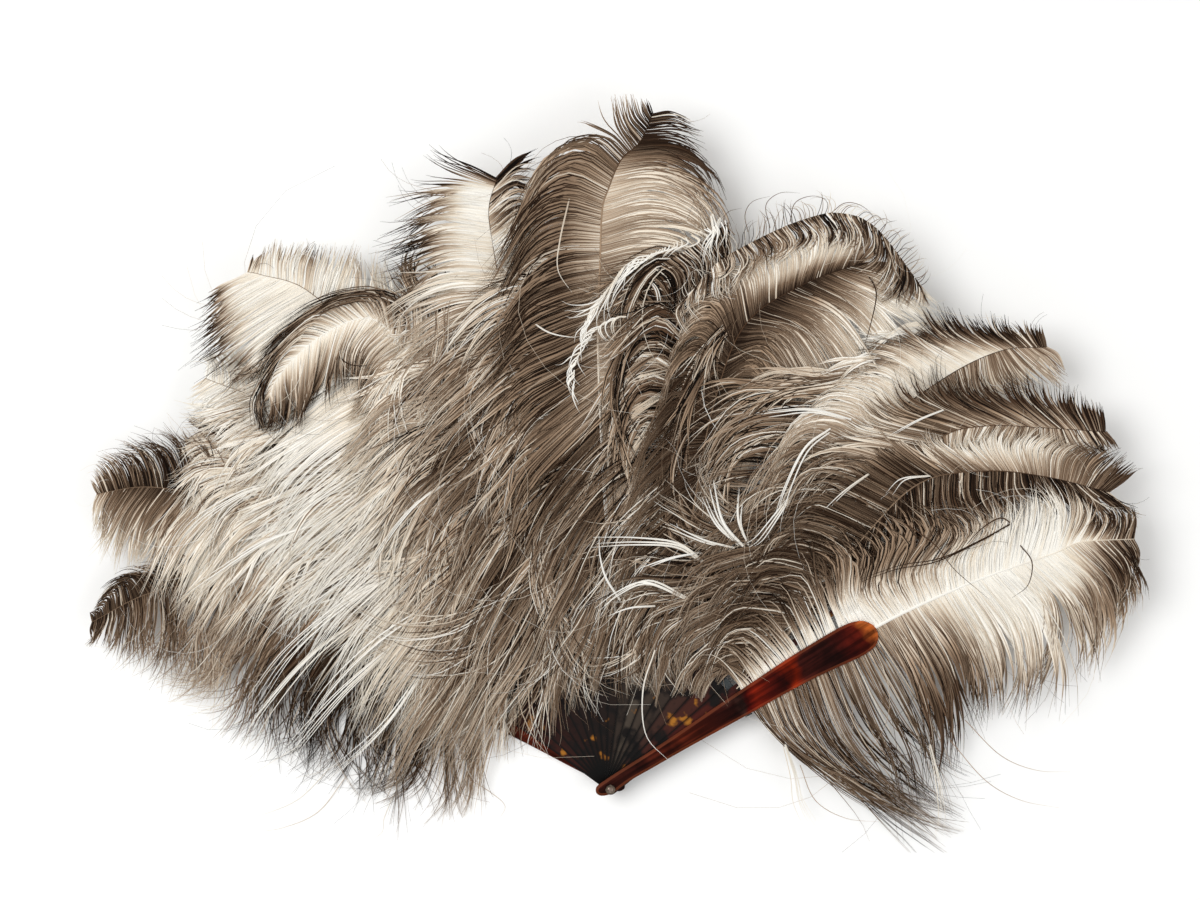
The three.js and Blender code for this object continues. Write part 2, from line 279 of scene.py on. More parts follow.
class Strands:
    """Tapered three-sided strands gathered for one mesh."""

    def __init__(self):
        self.points = []
        self.tones = []
        self.faces = []
        self.rows = []
        self.size = 0
        self.count = 0

    def add(self, paths, widths, heights, tones, ridge=RIDGE):
        """Adds strands: paths are (strand, ring, xyz), and the rest (strand, ring)."""
        core = ridge * np.clip(tones, *RIDGE_TONES)
        n, m, _ = paths.shape
        along = np.gradient(paths, axis=1)
        along /= np.linalg.norm(along, axis=2, keepdims=True) + 1e-9
        across = np.cross(along, [0.0, 0.0, 1.0])
        across /= np.linalg.norm(across, axis=2, keepdims=True) + 1e-9
        up = np.cross(across, along)
        left = paths - across * widths[..., None] / 2
        right = paths + across * widths[..., None] / 2
        top = paths + up * heights[..., None]
        self.points.append(np.stack([left, right, top], axis=2).reshape(-1, 3))
        self.tones.append(np.stack([tones - core, tones - core, tones + core], axis=2).reshape(-1))
        index = self.size + np.arange(n * m * 3).reshape(n, m, 3)
        sides = [index[:, 0, ::-1], index[:, -1, :]]
        for i, j in ((0, 1), (1, 2), (2, 0)):
            a, b = index[:, :-1, i], index[:, :-1, j]
            c, d = index[:, 1:, j], index[:, 1:, i]
            sides.append(np.stack([a, b, c], axis=-1).reshape(-1, 3))
            sides.append(np.stack([a, c, d], axis=-1).reshape(-1, 3))
        self.faces.append(np.vstack(sides))
        row = np.broadcast_to(self.count + np.arange(n)[:, None, None], (n, m, 3))
        share = np.broadcast_to(np.linspace(0, 1, m)[None, :, None], (n, m, 3))
        self.rows.append(np.stack([share.reshape(-1), row.reshape(-1)], axis=-1))
        self.size += n * m * 3
        self.count += n

    def mesh(self, name):
        points = np.vstack(self.points)
        points[:, 2] = np.clip(points[:, 2], LOWEST / 2, HIGHEST + 1)
        faces = np.vstack(self.faces)
        made = bpy.data.meshes.new(name)
        made.from_pydata((points * MM).tolist(), [], faces.tolist())
        colour = np.ones((len(points), 4), np.float32)
        colour[:, :3] = paint(np.concatenate(self.tones))
        layer = made.color_attributes.new("tone", "FLOAT_COLOR", "POINT")
        layer.data.foreach_set("color", colour.ravel())
        rows = np.vstack(self.rows)
        rows[:, 1] = (rows[:, 1] + 0.5) / self.count
        flat = made.uv_layers.new(name="OFBake")
        flat.data.foreach_set("uv", rows[faces.ravel()].astype(np.float32).ravel())
        made.validate()
        return made


class Shaft:
    """A line that barbs grow from, as seen in the scale's plane, with its heights."""

    def __init__(self, k, points, base, lift):
        self.line = smooth_line(points, len(SHAFT_SHARES))
        self.height = vane_height(k) + base + dish(self.line) + lift * SHAFT_SHARES**3
        self.length = np.linalg.norm(np.diff(self.line, axis=0), axis=1).sum()

    def at(self, share):
        """Places and heights on the shaft."""
        place = np.stack([np.interp(share, SHAFT_SHARES, self.line[:, i]) for i in range(2)], axis=-1)
        return place, np.interp(share, SHAFT_SHARES, self.height)


def webbing(strands, place, z, tone, film):
    """The pale web that joins the barbs of a vane: broader thin strands under them."""
    gap = np.linalg.norm(np.gradient(place, axis=0), axis=2)
    low = np.maximum(z - WEB_DROP, LOWEST)
    wide = np.clip(WEB_OVERLAP * gap, *WEB_WIDTHS) * WEB_TAPER
    tone = np.minimum(WEB_PALEST + WEB_TINT * tone**2, film)
    strands.add(raised(place, low), wide, np.full(z.shape, WEB_HEIGHT), tone, ridge=0)


def strays(strands, rng, place, z, tone):
    """Barbs that swing away from their neighbours and lie over them."""
    count = len(place)
    root = place[:, :1]
    swing = np.radians(rng.normal(0, STRAY_SWING, (count, 1)) * SHARES**2)
    path = (place - root) * rng.uniform(*STRAY_LENGTHS, (count, 1, 1))
    z = np.clip(z + STRAY_RISE * SHARES, LOWEST, HIGHEST)
    wide = STRAY_WIDTH * STRAY_TAPER * np.ones((count, 1))
    tone = tone + rng.choice(STRAY_TONES, (count, 1))
    place = kept_in(turned(path, swing) + root)
    strands.add(raised(place, z), wide, STRAY_FLATNESS * wide, tone, ridge=0)


def barbs(strands, rng, shaft, form):
    """One vane of a plume: barbs between its guides, clumped towards their ends."""
    guides = form["guides"]
    shares = np.array([g[0] for g in guides]) / PERCENT
    roots, _ = shaft.at(shares)
    lines = [smooth_line(np.vstack([r, on_fan(g[2:])]), RINGS) - r for r, g in zip(roots, guides)]
    run = shares[-1] - shares[0]
    count = int(shaft.length * run / BARB_PITCH * form["dense"])
    share = shares[0] + run * (np.arange(count) + rng.uniform(0, BARB_JITTER, count)) / count
    root, height = shaft.at(share)
    path = between(shares, lines, share)

    # Clumps: each has its own chances for turn, curl, length, ruffle and tone, and so does each
    # barb, which has one for its sway as well.
    starts = rng.uniform(0, 1, count) < 1 / form["group"]
    starts[0] = True
    group = np.cumsum(starts) - 1
    first = np.flatnonzero(starts)
    middle = (first + np.diff(np.append(first, count)) // 2)[group]
    own = rng.normal(0, 1, (len(first), 5))[group]
    each = rng.normal(0, 1, (count, 6))

    loose = form["loose"]
    turn = CLUMP_TURN * own[:, 0] + BARB_TURN * each[:, 0] + DRIFT_TURN * drift(rng, count, TURN_KNOTS)
    curl = CURL * own[:, 1] + CURL * each[:, 1]
    turn = np.radians((loose * turn)[:, None] + (loose * curl)[:, None] * SHARES**2)
    size = np.clip(1 + LENGTH_CHANGE * each[:, 2] + LENGTH_CHANGE * own[:, 2], *LENGTH_LIMITS)
    path = size[:, None, None] * turned(path, turn)
    length = distance(path[:, -1])[:, None]
    sway = loose * SWAY * length * each[:, 3:4] * np.sin(np.pi * SWAY_WAVES * SHARES) * SHARES
    x, y = path[..., 0], path[..., 1]
    bent = np.stack([x - sway * y / (length + 1), y + sway * x / (length + 1)], axis=-1)
    place = kept_in(bent + root[:, None])
    low, high = form["clump"]
    clump = ((low + (high - low) * share)[:, None] * SHARES**CLUMP_POWER)[..., None]
    place = place + clump * (place[middle] - place)

    # Heights: barbs follow the crown and rise from the shaft, but stay low beside the guards.
    rise = form["rise"] * length * SHARES
    arch = form["arch"] * np.sin(np.pi * SHARES) * np.clip(length / ARCH_LENGTH, 0, 1)
    ruffle = CLUMP_RUFFLE * own[:, 3:4] + BARB_RUFFLE * each[:, 4:5]
    ruffle = ruffle * SHARES * np.clip(length / RUFFLE_LENGTH, 0, 1)
    follow = dish(place) - dish(root)[:, None]
    past = np.clip((distance(place - root[:, None]) - form["tuck"]) / TUCK_RUN, 0, 1)
    free = np.where(distance(root)[:, None] < GUARD_REACH, past, 1)
    level = height[:, None] + free * (rise + arch + ruffle) + follow
    z = np.clip(level, LOWEST + rng.uniform(0, FLOOR_SCATTER, count)[:, None] * SHARES, HIGHEST)

    tone = between(shares, [ramped(g[1], SHARES) for g in guides], share)
    some = np.flatnonzero((share >= form["web"]) & (share <= form["bare"]))[::WEB_EVERY]
    if len(some) > 2:
        cut = form["reach"] * WEB_SHARES
        inner = [between(SHARES, a[some].swapaxes(0, 1), cut).swapaxes(0, 1) for a in (place, z, tone)]
        webbing(strands, *inner, form["film"])
    pick = rng.uniform(0, 1, (count, 1))
    change = BARB_CHANGE * each[:, 5] + form["stripe"] * own[:, 4]
    change = change + DRIFT_CHANGE * drift(rng, count, TONE_KNOTS)
    tone = tone + (LEAST_CHANGE + tone) * form["vary"] * change[:, None]
    odd = np.where(pick > 1 - form["mix"], DARKER * tone, tone)
    tone = np.where(pick < form["mix"], PALER * tone, odd)
    taper = BARB_TAPER * np.ones((count, 1))
    strands.add(raised(place, z), BARB_WIDTH * form["wide"] * taper, BARB_HEIGHT * np.sqrt(taper), tone)

    picked = np.flatnonzero((rng.uniform(0, 1, count) < form["stray"]) & (share > STRAY_FROM))
    strays(strands, rng, place[picked], z[picked], tone[picked])


def wisp(strands, rng, k, count, width, tones, pixels):
    """A lock of long loose barbs laid along photo points, above the plume's own layer."""
    line = smooth_line(on_fan(pixels), len(WISP_SHARES))
    place = line[None] + rng.normal(0, 1, (count, 1, 2)) * WISP_SPREAD * (count > 1)
    over = WISP_ARCH if place[..., 1].mean() > HANGING_BELOW else -WISP_RISE * WISP_SHARES
    z = vane_height(k) + dish(place) + over
    z = np.clip(z + rng.normal(0, WISP_SCATTER, (count, 1)), LOWEST, HIGHEST)
    wide = width * (WISP_TAPER * np.ones((count, 1)))
    tone = ramped(tones, WISP_SHARES) + rng.normal(0, WISP_CHANGE, (count, 1))
    strands.add(raised(place, z), wide, WISP_FLATNESS * wide, tone, ridge=WISP_RIDGE)


def quill(strands, shaft, tones, width):
    """The shaft itself, tapering to its tip."""
    taper = QUILL_TAPER[None]
    path = np.column_stack([at_height(shaft.line, shaft.height), shaft.height + QUILL_RISE])[None]
    tone = ramped(tones, SHAFT_SHARES)[None]
    strands.add(path, width * taper, QUILL_FLATNESS * width * taper, tone, ridge=QUILL_RIDGE)


# What a vane is like where nothing else is said. Dense, wide and loose scale the number of
# barbs, their width and their bends. Group is the barbs in a clump, and clump how far they gather
# at the first and the last barb. Vary, stripe and mix change tones. Arch and rise lift barbs, and
# stray is the share that swings away. Web, bare and reach say where the web begins and ends, film
# how dark it may be, and tuck how far out barbs stay low beside the guards.
VANE = dict(
    dense=1.0, wide=1.0, group=7, loose=1.0, stripe=0.2, vary=1.0, mix=0.1, arch=4.0, rise=0.04,
    clump=(0.7, 0.2), stray=0.05, web=0.55, bare=1.0, reach=0.87, film=1, tuck=3.5)


def vane(*guides, **more):
    """A vane: guide barbs as (percent of the shaft, tones from root to end, photo points)."""
    return {**VANE, **more, "guides": guides}


def fringe(line, *guides, above=FRINGE_RISE, **more):
    """Barbs on a line of photo points of their own, above the plume's layer."""
    return line, above, vane(*guides, **more)


# Tones from root to end, and settings, that several vanes share.
PALE = (12, 10, 8)
FAWN = (40, 30, 20)
BROWN = (66, 58, 35)
DARK = (85, 88, 90)
WHITE = (10, 0, 0)
TIPPED = (75, 62, 10)
UNDER = dict(rise=-0.06, arch=1.0)
CURLS = dict(dense=0.6, group=5, clump=(0.75, 0.75), rise=-0.1, loose=1.6, stray=0.02, web=2)
THIN_CURLS = {**CURLS, "dense": 0.24, "wide": 1.1, "clump": (0.4, 0.4)}
HOOD_CURLS = {**CURLS, "dense": 1.5, "clump": (0.5, 0.5)}
HOOD_HAIRS = {**CURLS, "dense": 0.35, "wide": 0.5, "clump": (0.2, 0.2), "loose": 2.5}

# The outline of the plume that bends over like a hood.
HOOD = [(686, 300), (716, 264), (760, 238), (802, 220), (839, 213), (876, 228), (921, 286)]

# The plumes, from the rear guard round to the front guard, all placed by photo points: each
# shaft's points beyond its foot, and the vanes on its left and its right, looking from foot to
# tip. Then come the tones and widths of quills that differ from the rest, how far a tip is
# lifted, the fringes and the loose locks.
SHAFTS = {}
LEFT = {}
RIGHT = {}
FRINGES = {}
WISPS = {}

SHAFTS[0] = [(300, 620), (200, 588), (147, 594), (92, 622)]
LEFT[0] = vane(
    (0, (50, 60, 55), (482, 745), (472, 785), (458, 812)),
    (10, (60, 75, 60), (430, 740), (426, 790), (418, 816)),
    (25, (85, 95, 90), (350, 710), (345, 755), (335, 785)),
    (40, (85, 95, 85), (290, 690), (280, 735), (270, 752)),
    (55, (50, 40, 20), (235, 650), (220, 690), (205, 712)),
    (70, (40, 50, 40), (195, 630), (187, 665), (180, 682)),
    (80, (80, 70, 50), (168, 620), (164, 650), (162, 674)),
    (90, (85, 70, 50), (130, 615), (124, 640), (119, 657)),
    (100, (85, 75, 60), (90, 630), (90, 640)),
    rise=-0.03, arch=2.0, dense=1.7, wide=0.9, web=2, clump=(0.4, 0.3), vary=0.5, stripe=0.1, mix=0.04)
RIGHT[0] = vane(
    (0, FAWN, (440, 670), (400, 640)),
    (60, FAWN, (225, 560), (200, 540)),
    (80, DARK, (152, 576), (138, 572), (126, 577)),
    (92, DARK, (118, 588), (108, 592), (101, 600)),
    (100, DARK, (91, 618), (89, 614)),
    loose=0.4, dense=1.5, wide=0.9, clump=(0.3, 0.2), vary=0.4, stripe=0.1, mix=0.02, web=2)

SHAFTS[1] = [(330, 572), (227, 499), (177, 490), (139, 487), (97, 494)]
LEFT[1] = vane(
    (0, FAWN, (480, 720), (460, 750)),
    (15, (60, 85, 85), (400, 670), (375, 705), (360, 735)),
    (35, (50, 85, 85), (320, 620), (290, 665), (268, 704)),
    (50, (20, 40, 35), (262, 580), (235, 615), (215, 645)),
    (65, (12, 20, 20), (208, 550), (188, 582), (175, 610)),
    (72, (15, 35, 15), (182, 535), (164, 570), (154, 594)),
    (80, (75, 60, 8), (160, 525), (148, 555), (138, 578)),
    (90, (75, 50, 8), (124, 515), (114, 540), (108, 560)),
    (100, (50, 30, 20), (93, 504), (94, 520)),
    loose=0.4, clump=(0.4, 0.1), web=0.3, vary=0.4, stripe=0.1, mix=0.04, dense=1.3)
RIGHT[1] = vane(
    (0, FAWN, (440, 640), (410, 600)),
    (55, FAWN, (270, 500), (255, 470)),
    (70, (60, 70, 70), (222, 474), (210, 452), (194, 438)),
    (80, (90, 85, 70), (182, 468), (174, 448), (158, 436)),
    (88, (95, 90, 70), (147, 468), (138, 452), (122, 445)),
    (95, (95, 85, 50), (115, 477), (108, 466), (99, 461)),
    (100, (80, 60, 40), (94, 489), (91, 482)),
    rise=0.05, loose=0.4, dense=1.6, wide=0.9, clump=(0.3, 0.1), web=2, vary=0.5, stripe=0.1, mix=0.02)

SHAFTS[2] = [(350, 530), (255, 455), (205, 430)]
LEFT[2] = vane(
    (0, FAWN, (490, 730), (475, 760)),
    (20, (50, 20, 0), (410, 640), (378, 672), (364, 690)),
    (50, (45, 30, 10), (285, 530), (245, 570), (222, 602)),
    (75, (50, 45, 20), (215, 485), (188, 522)),
    (90, FAWN, (200, 452), (180, 478)),
    (100, (50, 60, 60), (196, 434), (186, 444)), mix=0.3, web=0.4)
RIGHT[2] = vane(
    (0, FAWN, (450, 620), (420, 570)),
    (60, FAWN, (280, 430), (262, 405)),
    (90, (60, 80, 80), (212, 420), (196, 414)),
    (100, DARK, (198, 424), (190, 418)), **UNDER)

SHAFTS[3] = [(400, 520), (300, 420), (205, 378)]
LEFT[3] = vane(
    (0, FAWN, (500, 725), (480, 770)),
    (20, (60, 15, 0), (430, 640), (394, 682), (374, 712)),
    (35, (30, 2, 0), (370, 580), (318, 630), (294, 664)),
    (50, (40, 25, 5), (320, 510), (275, 545), (245, 585)),
    (70, (40, 40, 20), (255, 450), (215, 490)),
    (90, PALE, (215, 412), (190, 428)),
    (100, PALE, (200, 382), (190, 390)), mix=0.3, web=0.45)
RIGHT[3] = vane(
    (0, FAWN, (470, 610), (450, 560)),
    (60, PALE, (330, 390), (320, 360)),
    (100, PALE, (205, 365), (198, 352)), **UNDER)

SHAFTS[4] = [(430, 480), (365, 350), (308, 291), (262, 275), (247, 272)]
LEFT[4] = vane(
    (0, BROWN, (500, 720), (480, 775)),
    (15, (60, 50, 30), (445, 680), (415, 735), (398, 780)),
    (35, (35, 5, 0), (400, 560), (350, 610), (318, 665)),
    (55, (30, 5, 0), (340, 440), (285, 480), (255, 520)),
    (72, (12, 12, 10, 10, 10, 40), (300, 385), (226, 414)),
    (84, (8, 8, 8, 10, 15, 100, 100), (266, 330), (208, 374)),
    (92, (8, 8, 8, 10, 50, 100, 100), (240, 308), (199, 342)),
    (97, (8, 8, 20, 90, 100), (228, 290), (201, 312)),
    (100, (10, 30, 90), (232, 280), (212, 290)),
    loose=0.3, clump=(0.7, 0.0), rise=0.05, reach=0.9, mix=0.02, vary=0.4, stripe=0.08, stray=0.02)
RIGHT[4] = vane(
    (0, FAWN, (500, 600), (480, 540)),
    (60, PALE, (400, 340), (385, 290)),
    (80, (15, 15, 40), (345, 280), (356, 252)),
    (88, (12, 20, 70), (305, 268), (314, 248)),
    (95, (12, 25, 85), (272, 262), (277, 247)),
    (100, (20, 50, 90), (250, 266), (254, 258)),
    loose=0.4, clump=(0.5, 0.05), rise=0.0)

SHAFTS[5] = [(470, 480), (415, 370), (379, 322), (345, 323), (305, 348), (277, 379), (270, 396)]
LEFT[5] = vane(
    (0, BROWN, (520, 710), (500, 765)),
    (15, (60, 40, 0), (455, 630), (422, 676), (402, 714)),
    (35, (55, 15, 0), (410, 490), (365, 530), (330, 580)),
    (55, (45, 40, 35), (385, 395), (345, 430)),
    (63, (30, 35, 50), (380, 370), (362, 392)),
    (72, (8, 45, 95), (355, 350), (352, 388)),
    (82, (6, 50, 100), (322, 378), (312, 412)),
    (92, (6, 60, 100), (290, 410), (282, 438)),
    (100, (10, 75, 95), (272, 412), (272, 436)),
    loose=0.4, clump=(0.7, 0.1), mix=0.05, stripe=0.1, vary=0.6)
RIGHT[5] = vane(
    (0, FAWN, (530, 590), (520, 540)),
    (50, FAWN, (450, 360), (440, 320)),
    (60, (15, 20, 50, 100), (412, 305), (392, 272)),
    (66, (30, 90, 100), (398, 295), (356, 288), (316, 302)),
    (74, (10, 85, 95), (342, 296), (300, 318), (272, 350)),
    (84, (8, 80, 95), (298, 334), (264, 370), (252, 402)),
    (93, (8, 80, 95), (272, 374), (254, 405), (262, 434)),
    (100, (10, 80, 95), (262, 408), (264, 434)),
    loose=0.5, clump=(0.5, 0.6), dense=0.9, web=2, mix=0.04)

SHAFTS[6] = [(515, 480), (470, 370), (425, 290)]
LEFT[6] = vane(
    (0, BROWN, (530, 700), (515, 750)),
    (20, (70, 60, 30), (495, 630), (465, 680), (445, 735)),
    (45, (75, 70, 30), (445, 500), (405, 545), (375, 590)),
    (60, (75, 60, 10), (425, 430), (375, 470), (345, 505)),
    (75, (65, 50, 10), (408, 375), (370, 412), (352, 440)),
    (88, (30, 25, 10), (408, 328), (385, 345)),
    (95, (30, 70, 95), (410, 292), (388, 268)),
    (100, (50, 90, 95), (412, 276), (396, 258)), loose=1.5, mix=0.25, film=0.4, web=0.3)
RIGHT[6] = vane(
    (0, FAWN, (555, 580), (550, 530)),
    (60, FAWN, (510, 350), (505, 310)),
    (100, (60, 90, 90), (432, 272), (428, 260)), **UNDER)

SHAFTS[7] = [(540, 480), (510, 340), (492, 240), (489, 207), (497, 178)]
LEFT[7] = vane(
    (0, BROWN, (560, 680), (548, 725)),
    (10, (65, 50, 30), (540, 660), (515, 700), (505, 730)),
    (30, (75, 70, 35), (490, 570), (460, 620), (435, 670)),
    (50, (80, 75, 35), (475, 440), (430, 480), (400, 525)),
    (66, (70, 60, 20), (460, 350), (420, 385), (398, 420)),
    (76, (20, 20, 25), (448, 290), (400, 310), (378, 330)),
    (83, (8, 8, 30, 85, 90), (442, 252), (385, 272)),
    (89, (6, 6, 30, 95, 100), (440, 224), (388, 242)),
    (94, (5, 5, 50, 95, 100), (442, 200), (396, 212)),
    (97.5, (5, 10, 90, 100), (455, 184), (414, 184)),
    (100, (95, 100, 100), (474, 164), (438, 148)),
    loose=0.4, clump=(0.7, 0.12), reach=0.72, mix=0.03, dense=1.25, vary=0.5, bare=0.97)
RIGHT[7] = vane(
    (0, FAWN, (590, 560), (590, 500)),
    (60, FAWN, (560, 330), (570, 300)),
    (85, (10, 30, 50), (530, 220), (550, 240)),
    (95, (30, 80, 90), (515, 180), (540, 186)),
    (100, (90, 95, 90), (514, 165), (534, 148)), **UNDER)

SHAFTS[8] = [(585, 480), (575, 330), (572, 250)]
LEFT[8] = vane(
    (0, BROWN, (585, 660), (575, 700)),
    (10, (70, 60, 30), (572, 650), (558, 690), (548, 718)),
    (30, (80, 75, 40), (540, 565), (512, 610), (495, 650)),
    (50, (80, 75, 45), (530, 450), (490, 490), (462, 530)),
    (65, (80, 75, 30), (520, 385), (478, 415), (446, 450)),
    (80, (75, 70, 30), (515, 325), (470, 355), (436, 398)),
    (100, FAWN, (545, 240), (515, 255)), loose=1.6, mix=0.2, web=0.3)
RIGHT[8] = vane(
    (0, FAWN, (610, 560), (615, 500)),
    (60, FAWN, (615, 340), (625, 300)),
    (100, FAWN, (585, 240), (592, 232)), **UNDER)

SHAFTS[9] = [
    (605, 500), (598, 345), (600, 269), (602, 212), (608, 190), (621, 160), (640, 142), (653, 113)]
LEFT[9] = vane(
    (0, BROWN, (610, 655), (602, 690)),
    (10, (65, 60, 35), (590, 640), (572, 675), (565, 705)),
    (28, (80, 75, 40), (568, 530), (545, 575), (530, 615)),
    (44, (50, 85, 50), (560, 425), (525, 455), (498, 500)),
    (56, (45, 95, 85, 50), (556, 352), (515, 372), (484, 415)),
    (68, (40, 100, 100, 60), (558, 274), (522, 292), (497, 332), (484, 358)),
    (77, (40, 100, 100, 55), (560, 213), (527, 232), (503, 275), (490, 300)),
    (83, (50, 95, 90, 50), (572, 172), (540, 188), (516, 226), (502, 252)),
    (88, (70, 70, 50, 30), (590, 142), (556, 152), (534, 184), (526, 206)),
    (92, (70, 70, 40), (616, 128), (606, 102)),
    (96, (90, 60, 30), (632, 118), (628, 96)),
    (100, (95, 80, 50), (650, 104), (647, 99)),
    loose=0.3, clump=(0.6, 0.1), arch=5.0, dense=0.8, wide=1.05, film=0.55,
    web=0.4, mix=0.02, bare=0.88, vary=0.5, stripe=0.06)
RIGHT[9] = vane(
    (0, FAWN, (630, 560), (635, 500)),
    (50, FAWN, (640, 360), (670, 360)),
    (66, (50, 50, 35), (640, 272), (685, 278)),
    (75, (42, 45, 36), (645, 218), (690, 226), (715, 256)),
    (82, (28, 38, 36), (655, 182), (700, 202), (719, 236)),
    (86, (30, 60, 90), (662, 168), (704, 186), (722, 216)),
    (90, (60, 90, 95), (668, 153), (706, 167), (722, 190)),
    (95, (95, 95, 80), (672, 136), (700, 142)),
    (100, (95, 95, 80), (668, 110), (682, 116)),
    loose=0.3, clump=(0.4, 0.1), rise=0.02, mix=0.02, vary=0.25, stripe=0.04, bare=0.93)

SHAFTS[10] = [(655, 500), (672, 400), (690, 320), (706, 268)]
LEFT[10] = vane(
    (0, BROWN, (630, 660), (622, 690)),
    (10, (70, 65, 40), (622, 635), (608, 660), (600, 690)),
    (30, (80, 75, 40), (615, 555), (592, 595), (576, 635)),
    (55, (80, 75, 45), (632, 440), (605, 478), (588, 522)),
    (75, (85, 80, 50), (648, 340), (615, 380), (604, 440)),
    (88, (90, 85, 60), (658, 282), (625, 315), (608, 375)),
    (95, (95, 90, 50), (665, 262), (630, 290), (608, 330)),
    (100, (95, 90, 40), (672, 252), (640, 270), (606, 312)), loose=1.5, web=0.6)
RIGHT[10] = vane(
    (0, FAWN, (660, 560), (670, 500)),
    (60, BROWN, (705, 390), (722, 440)),
    (85, BROWN, (725, 300), (738, 345)),
    (100, DARK, (722, 256), (738, 270)), **UNDER)

SHAFTS[11] = [(690, 520), (730, 400), (770, 300)]
LEFT[11] = vane(
    (0, BROWN, (650, 660), (642, 690)),
    (10, (70, 65, 40), (645, 640), (632, 665), (624, 690)),
    (30, (80, 75, 40), (645, 560), (615, 590), (598, 630)),
    (55, (90, 85, 60), (690, 440), (665, 480), (650, 530)),
    (80, (85, 80, 50), (715, 350), (690, 390), (680, 440)),
    (100, BROWN, (745, 290), (720, 310)), loose=1.5, web=0.5)
RIGHT[11] = vane(
    (0, FAWN, (680, 570), (700, 510)),
    (60, BROWN, (770, 380), (790, 400)),
    (100, BROWN, (785, 300), (795, 310)), **UNDER)

SHAFTS[12] = [(695, 500), (715, 400), (745, 325), (800, 286), (861, 263)]
LEFT[12] = vane(
    (0, BROWN, (670, 660), (662, 695)),
    (10, (65, 60, 40), (668, 640), (660, 665), (652, 695)),
    (30, (80, 75, 40), (660, 540), (628, 565), (605, 605)),
    (55, (90, 85, 50), (685, 370), (662, 400), (652, 440)),
    (68, (85, 60, 40), (722, 296), (698, 300), (686, 322)),
    (78, (90, 30, 25, 25), (765, 262), (742, 250)),
    (87, (95, 25, 20, 20), (812, 248), (790, 226)),
    (95, (90, 25, 15, 15), (850, 236), (838, 216)),
    (100, (80, 75, 80, 40), (884, 240), (888, 232)),
    loose=0.3, mix=0.03, vary=0.2, stripe=0.06, clump=(0.7, 0.1))
RIGHT[12] = vane(
    (0, FAWN, (700, 580), (720, 530)),
    (60, (85, 70, 40), (760, 355), (795, 412)),
    (75, (90, 45, 25), (805, 332), (846, 396)),
    (86, (90, 30, 15), (850, 310), (894, 362)),
    (94, (70, 15, 8), (890, 296), (946, 334)),
    (100, (90, 40, 10), (898, 266), (936, 300)),
    rise=0.0, arch=2.0, loose=0.22, mix=0.03, vary=0.3, stripe=0.06,
    dense=1.9, wide=0.8, clump=(0.5, 0.05))

SHAFTS[13] = [(740, 560), (800, 470), (876, 376), (928, 322)]
LEFT[13] = vane(
    (0, BROWN, (690, 665), (684, 695)),
    (15, (75, 70, 40), (690, 610), (655, 630), (640, 665)),
    (27, (80, 75, 30), (690, 560), (645, 548), (610, 550)),
    (40, (80, 70, 10), (735, 510), (700, 480)),
    (55, (85, 80, 50), (765, 446), (724, 462), (700, 505)),
    (72, (70, 80, 60), (792, 402), (738, 416), (706, 462)),
    (84, (20, 50, 60), (836, 378), (780, 384), (736, 412)),
    (90, PALE, (866, 352), (832, 362)),
    (100, PALE, (908, 318), (884, 322)))
RIGHT[13] = vane(
    (0, FAWN, (720, 590), (745, 540)),
    (60, FAWN, (860, 430), (880, 440)),
    (100, PALE, (945, 322), (958, 330)), **UNDER)

SHAFTS[14] = [(800, 540), (880, 430), (943, 379), (1000, 351), (1047, 347)]
LEFT[14] = vane(
    (0, BROWN, (706, 670), (700, 695)),
    (15, (65, 60, 40), (705, 640), (688, 655), (680, 685)),
    (30, (75, 75, 50), (735, 560), (700, 575), (680, 612)),
    (50, (70, 50, 10), (800, 450), (770, 470), (755, 510)),
    (62, (20, 20, 30), (862, 402), (825, 398), (800, 420)),
    (70, (12, 15, 30, 80), (888, 372), (850, 368)),
    (79, (10, 15, 50, 95), (915, 350), (888, 340)),
    (87, (10, 30, 95, 100), (950, 338), (930, 316)),
    (93, (40, 95, 100), (990, 332), (980, 315)),
    (98, DARK, (1028, 334), (1022, 322)),
    (100, DARK, (1046, 340), (1042, 328)),
    loose=0.4, clump=(0.7, 0.05), vary=0.45, stripe=0.1, mix=0.05, dense=1.5)
RIGHT[14] = vane(
    (0, FAWN, (740, 620), (770, 590)),
    (60, FAWN, (910, 430), (925, 450)),
    (86, (50, 50, 50), (985, 388), (1005, 402)),
    (93, (50, 50, 40), (1032, 366), (1057, 388)),
    (100, (50, 40, 30), (1058, 353), (1064, 366)),
    loose=0.3, clump=(0.5, 0.0), vary=0.5, stripe=0.06, mix=0.03, dense=1.3, **UNDER)

SHAFTS[15] = [(800, 590), (880, 490), (940, 438), (986, 426), (1047, 428), (1106, 432)]
LEFT[15] = vane(
    (0, BROWN, (712, 680), (702, 696)),
    (15, (75, 75, 60), (735, 640), (712, 650), (698, 680)),
    (30, (80, 80, 65), (765, 580), (735, 585), (712, 620)),
    (50, (70, 60, 20), (830, 470), (800, 480), (780, 520)),
    (64, (60, 50, 10), (878, 430), (850, 412)),
    (73, (50, 80, 90), (918, 404), (904, 380)),
    (82, (40, 80, 95), (966, 398), (955, 374)),
    (89, (40, 85, 95), (1015, 396), (1005, 371)),
    (95, (50, 90, 95), (1066, 406), (1064, 386)),
    (100, DARK, (1106, 420), (1104, 406)),
    loose=0.35, clump=(0.7, 0.05), dense=1.2, wide=0.95, film=0.7, reach=0.85, mix=0.04,
    stripe=0.08, vary=0.7)
RIGHT[15] = vane(
    (0, FAWN, (755, 640), (785, 620)),
    (60, FAWN, (930, 490), (945, 510)),
    (80, (40, 30, 30), (990, 455), (1008, 475)),
    (92, (40, 40, 60), (1075, 445), (1092, 462)),
    (100, DARK, (1112, 440), (1116, 450)), **UNDER)

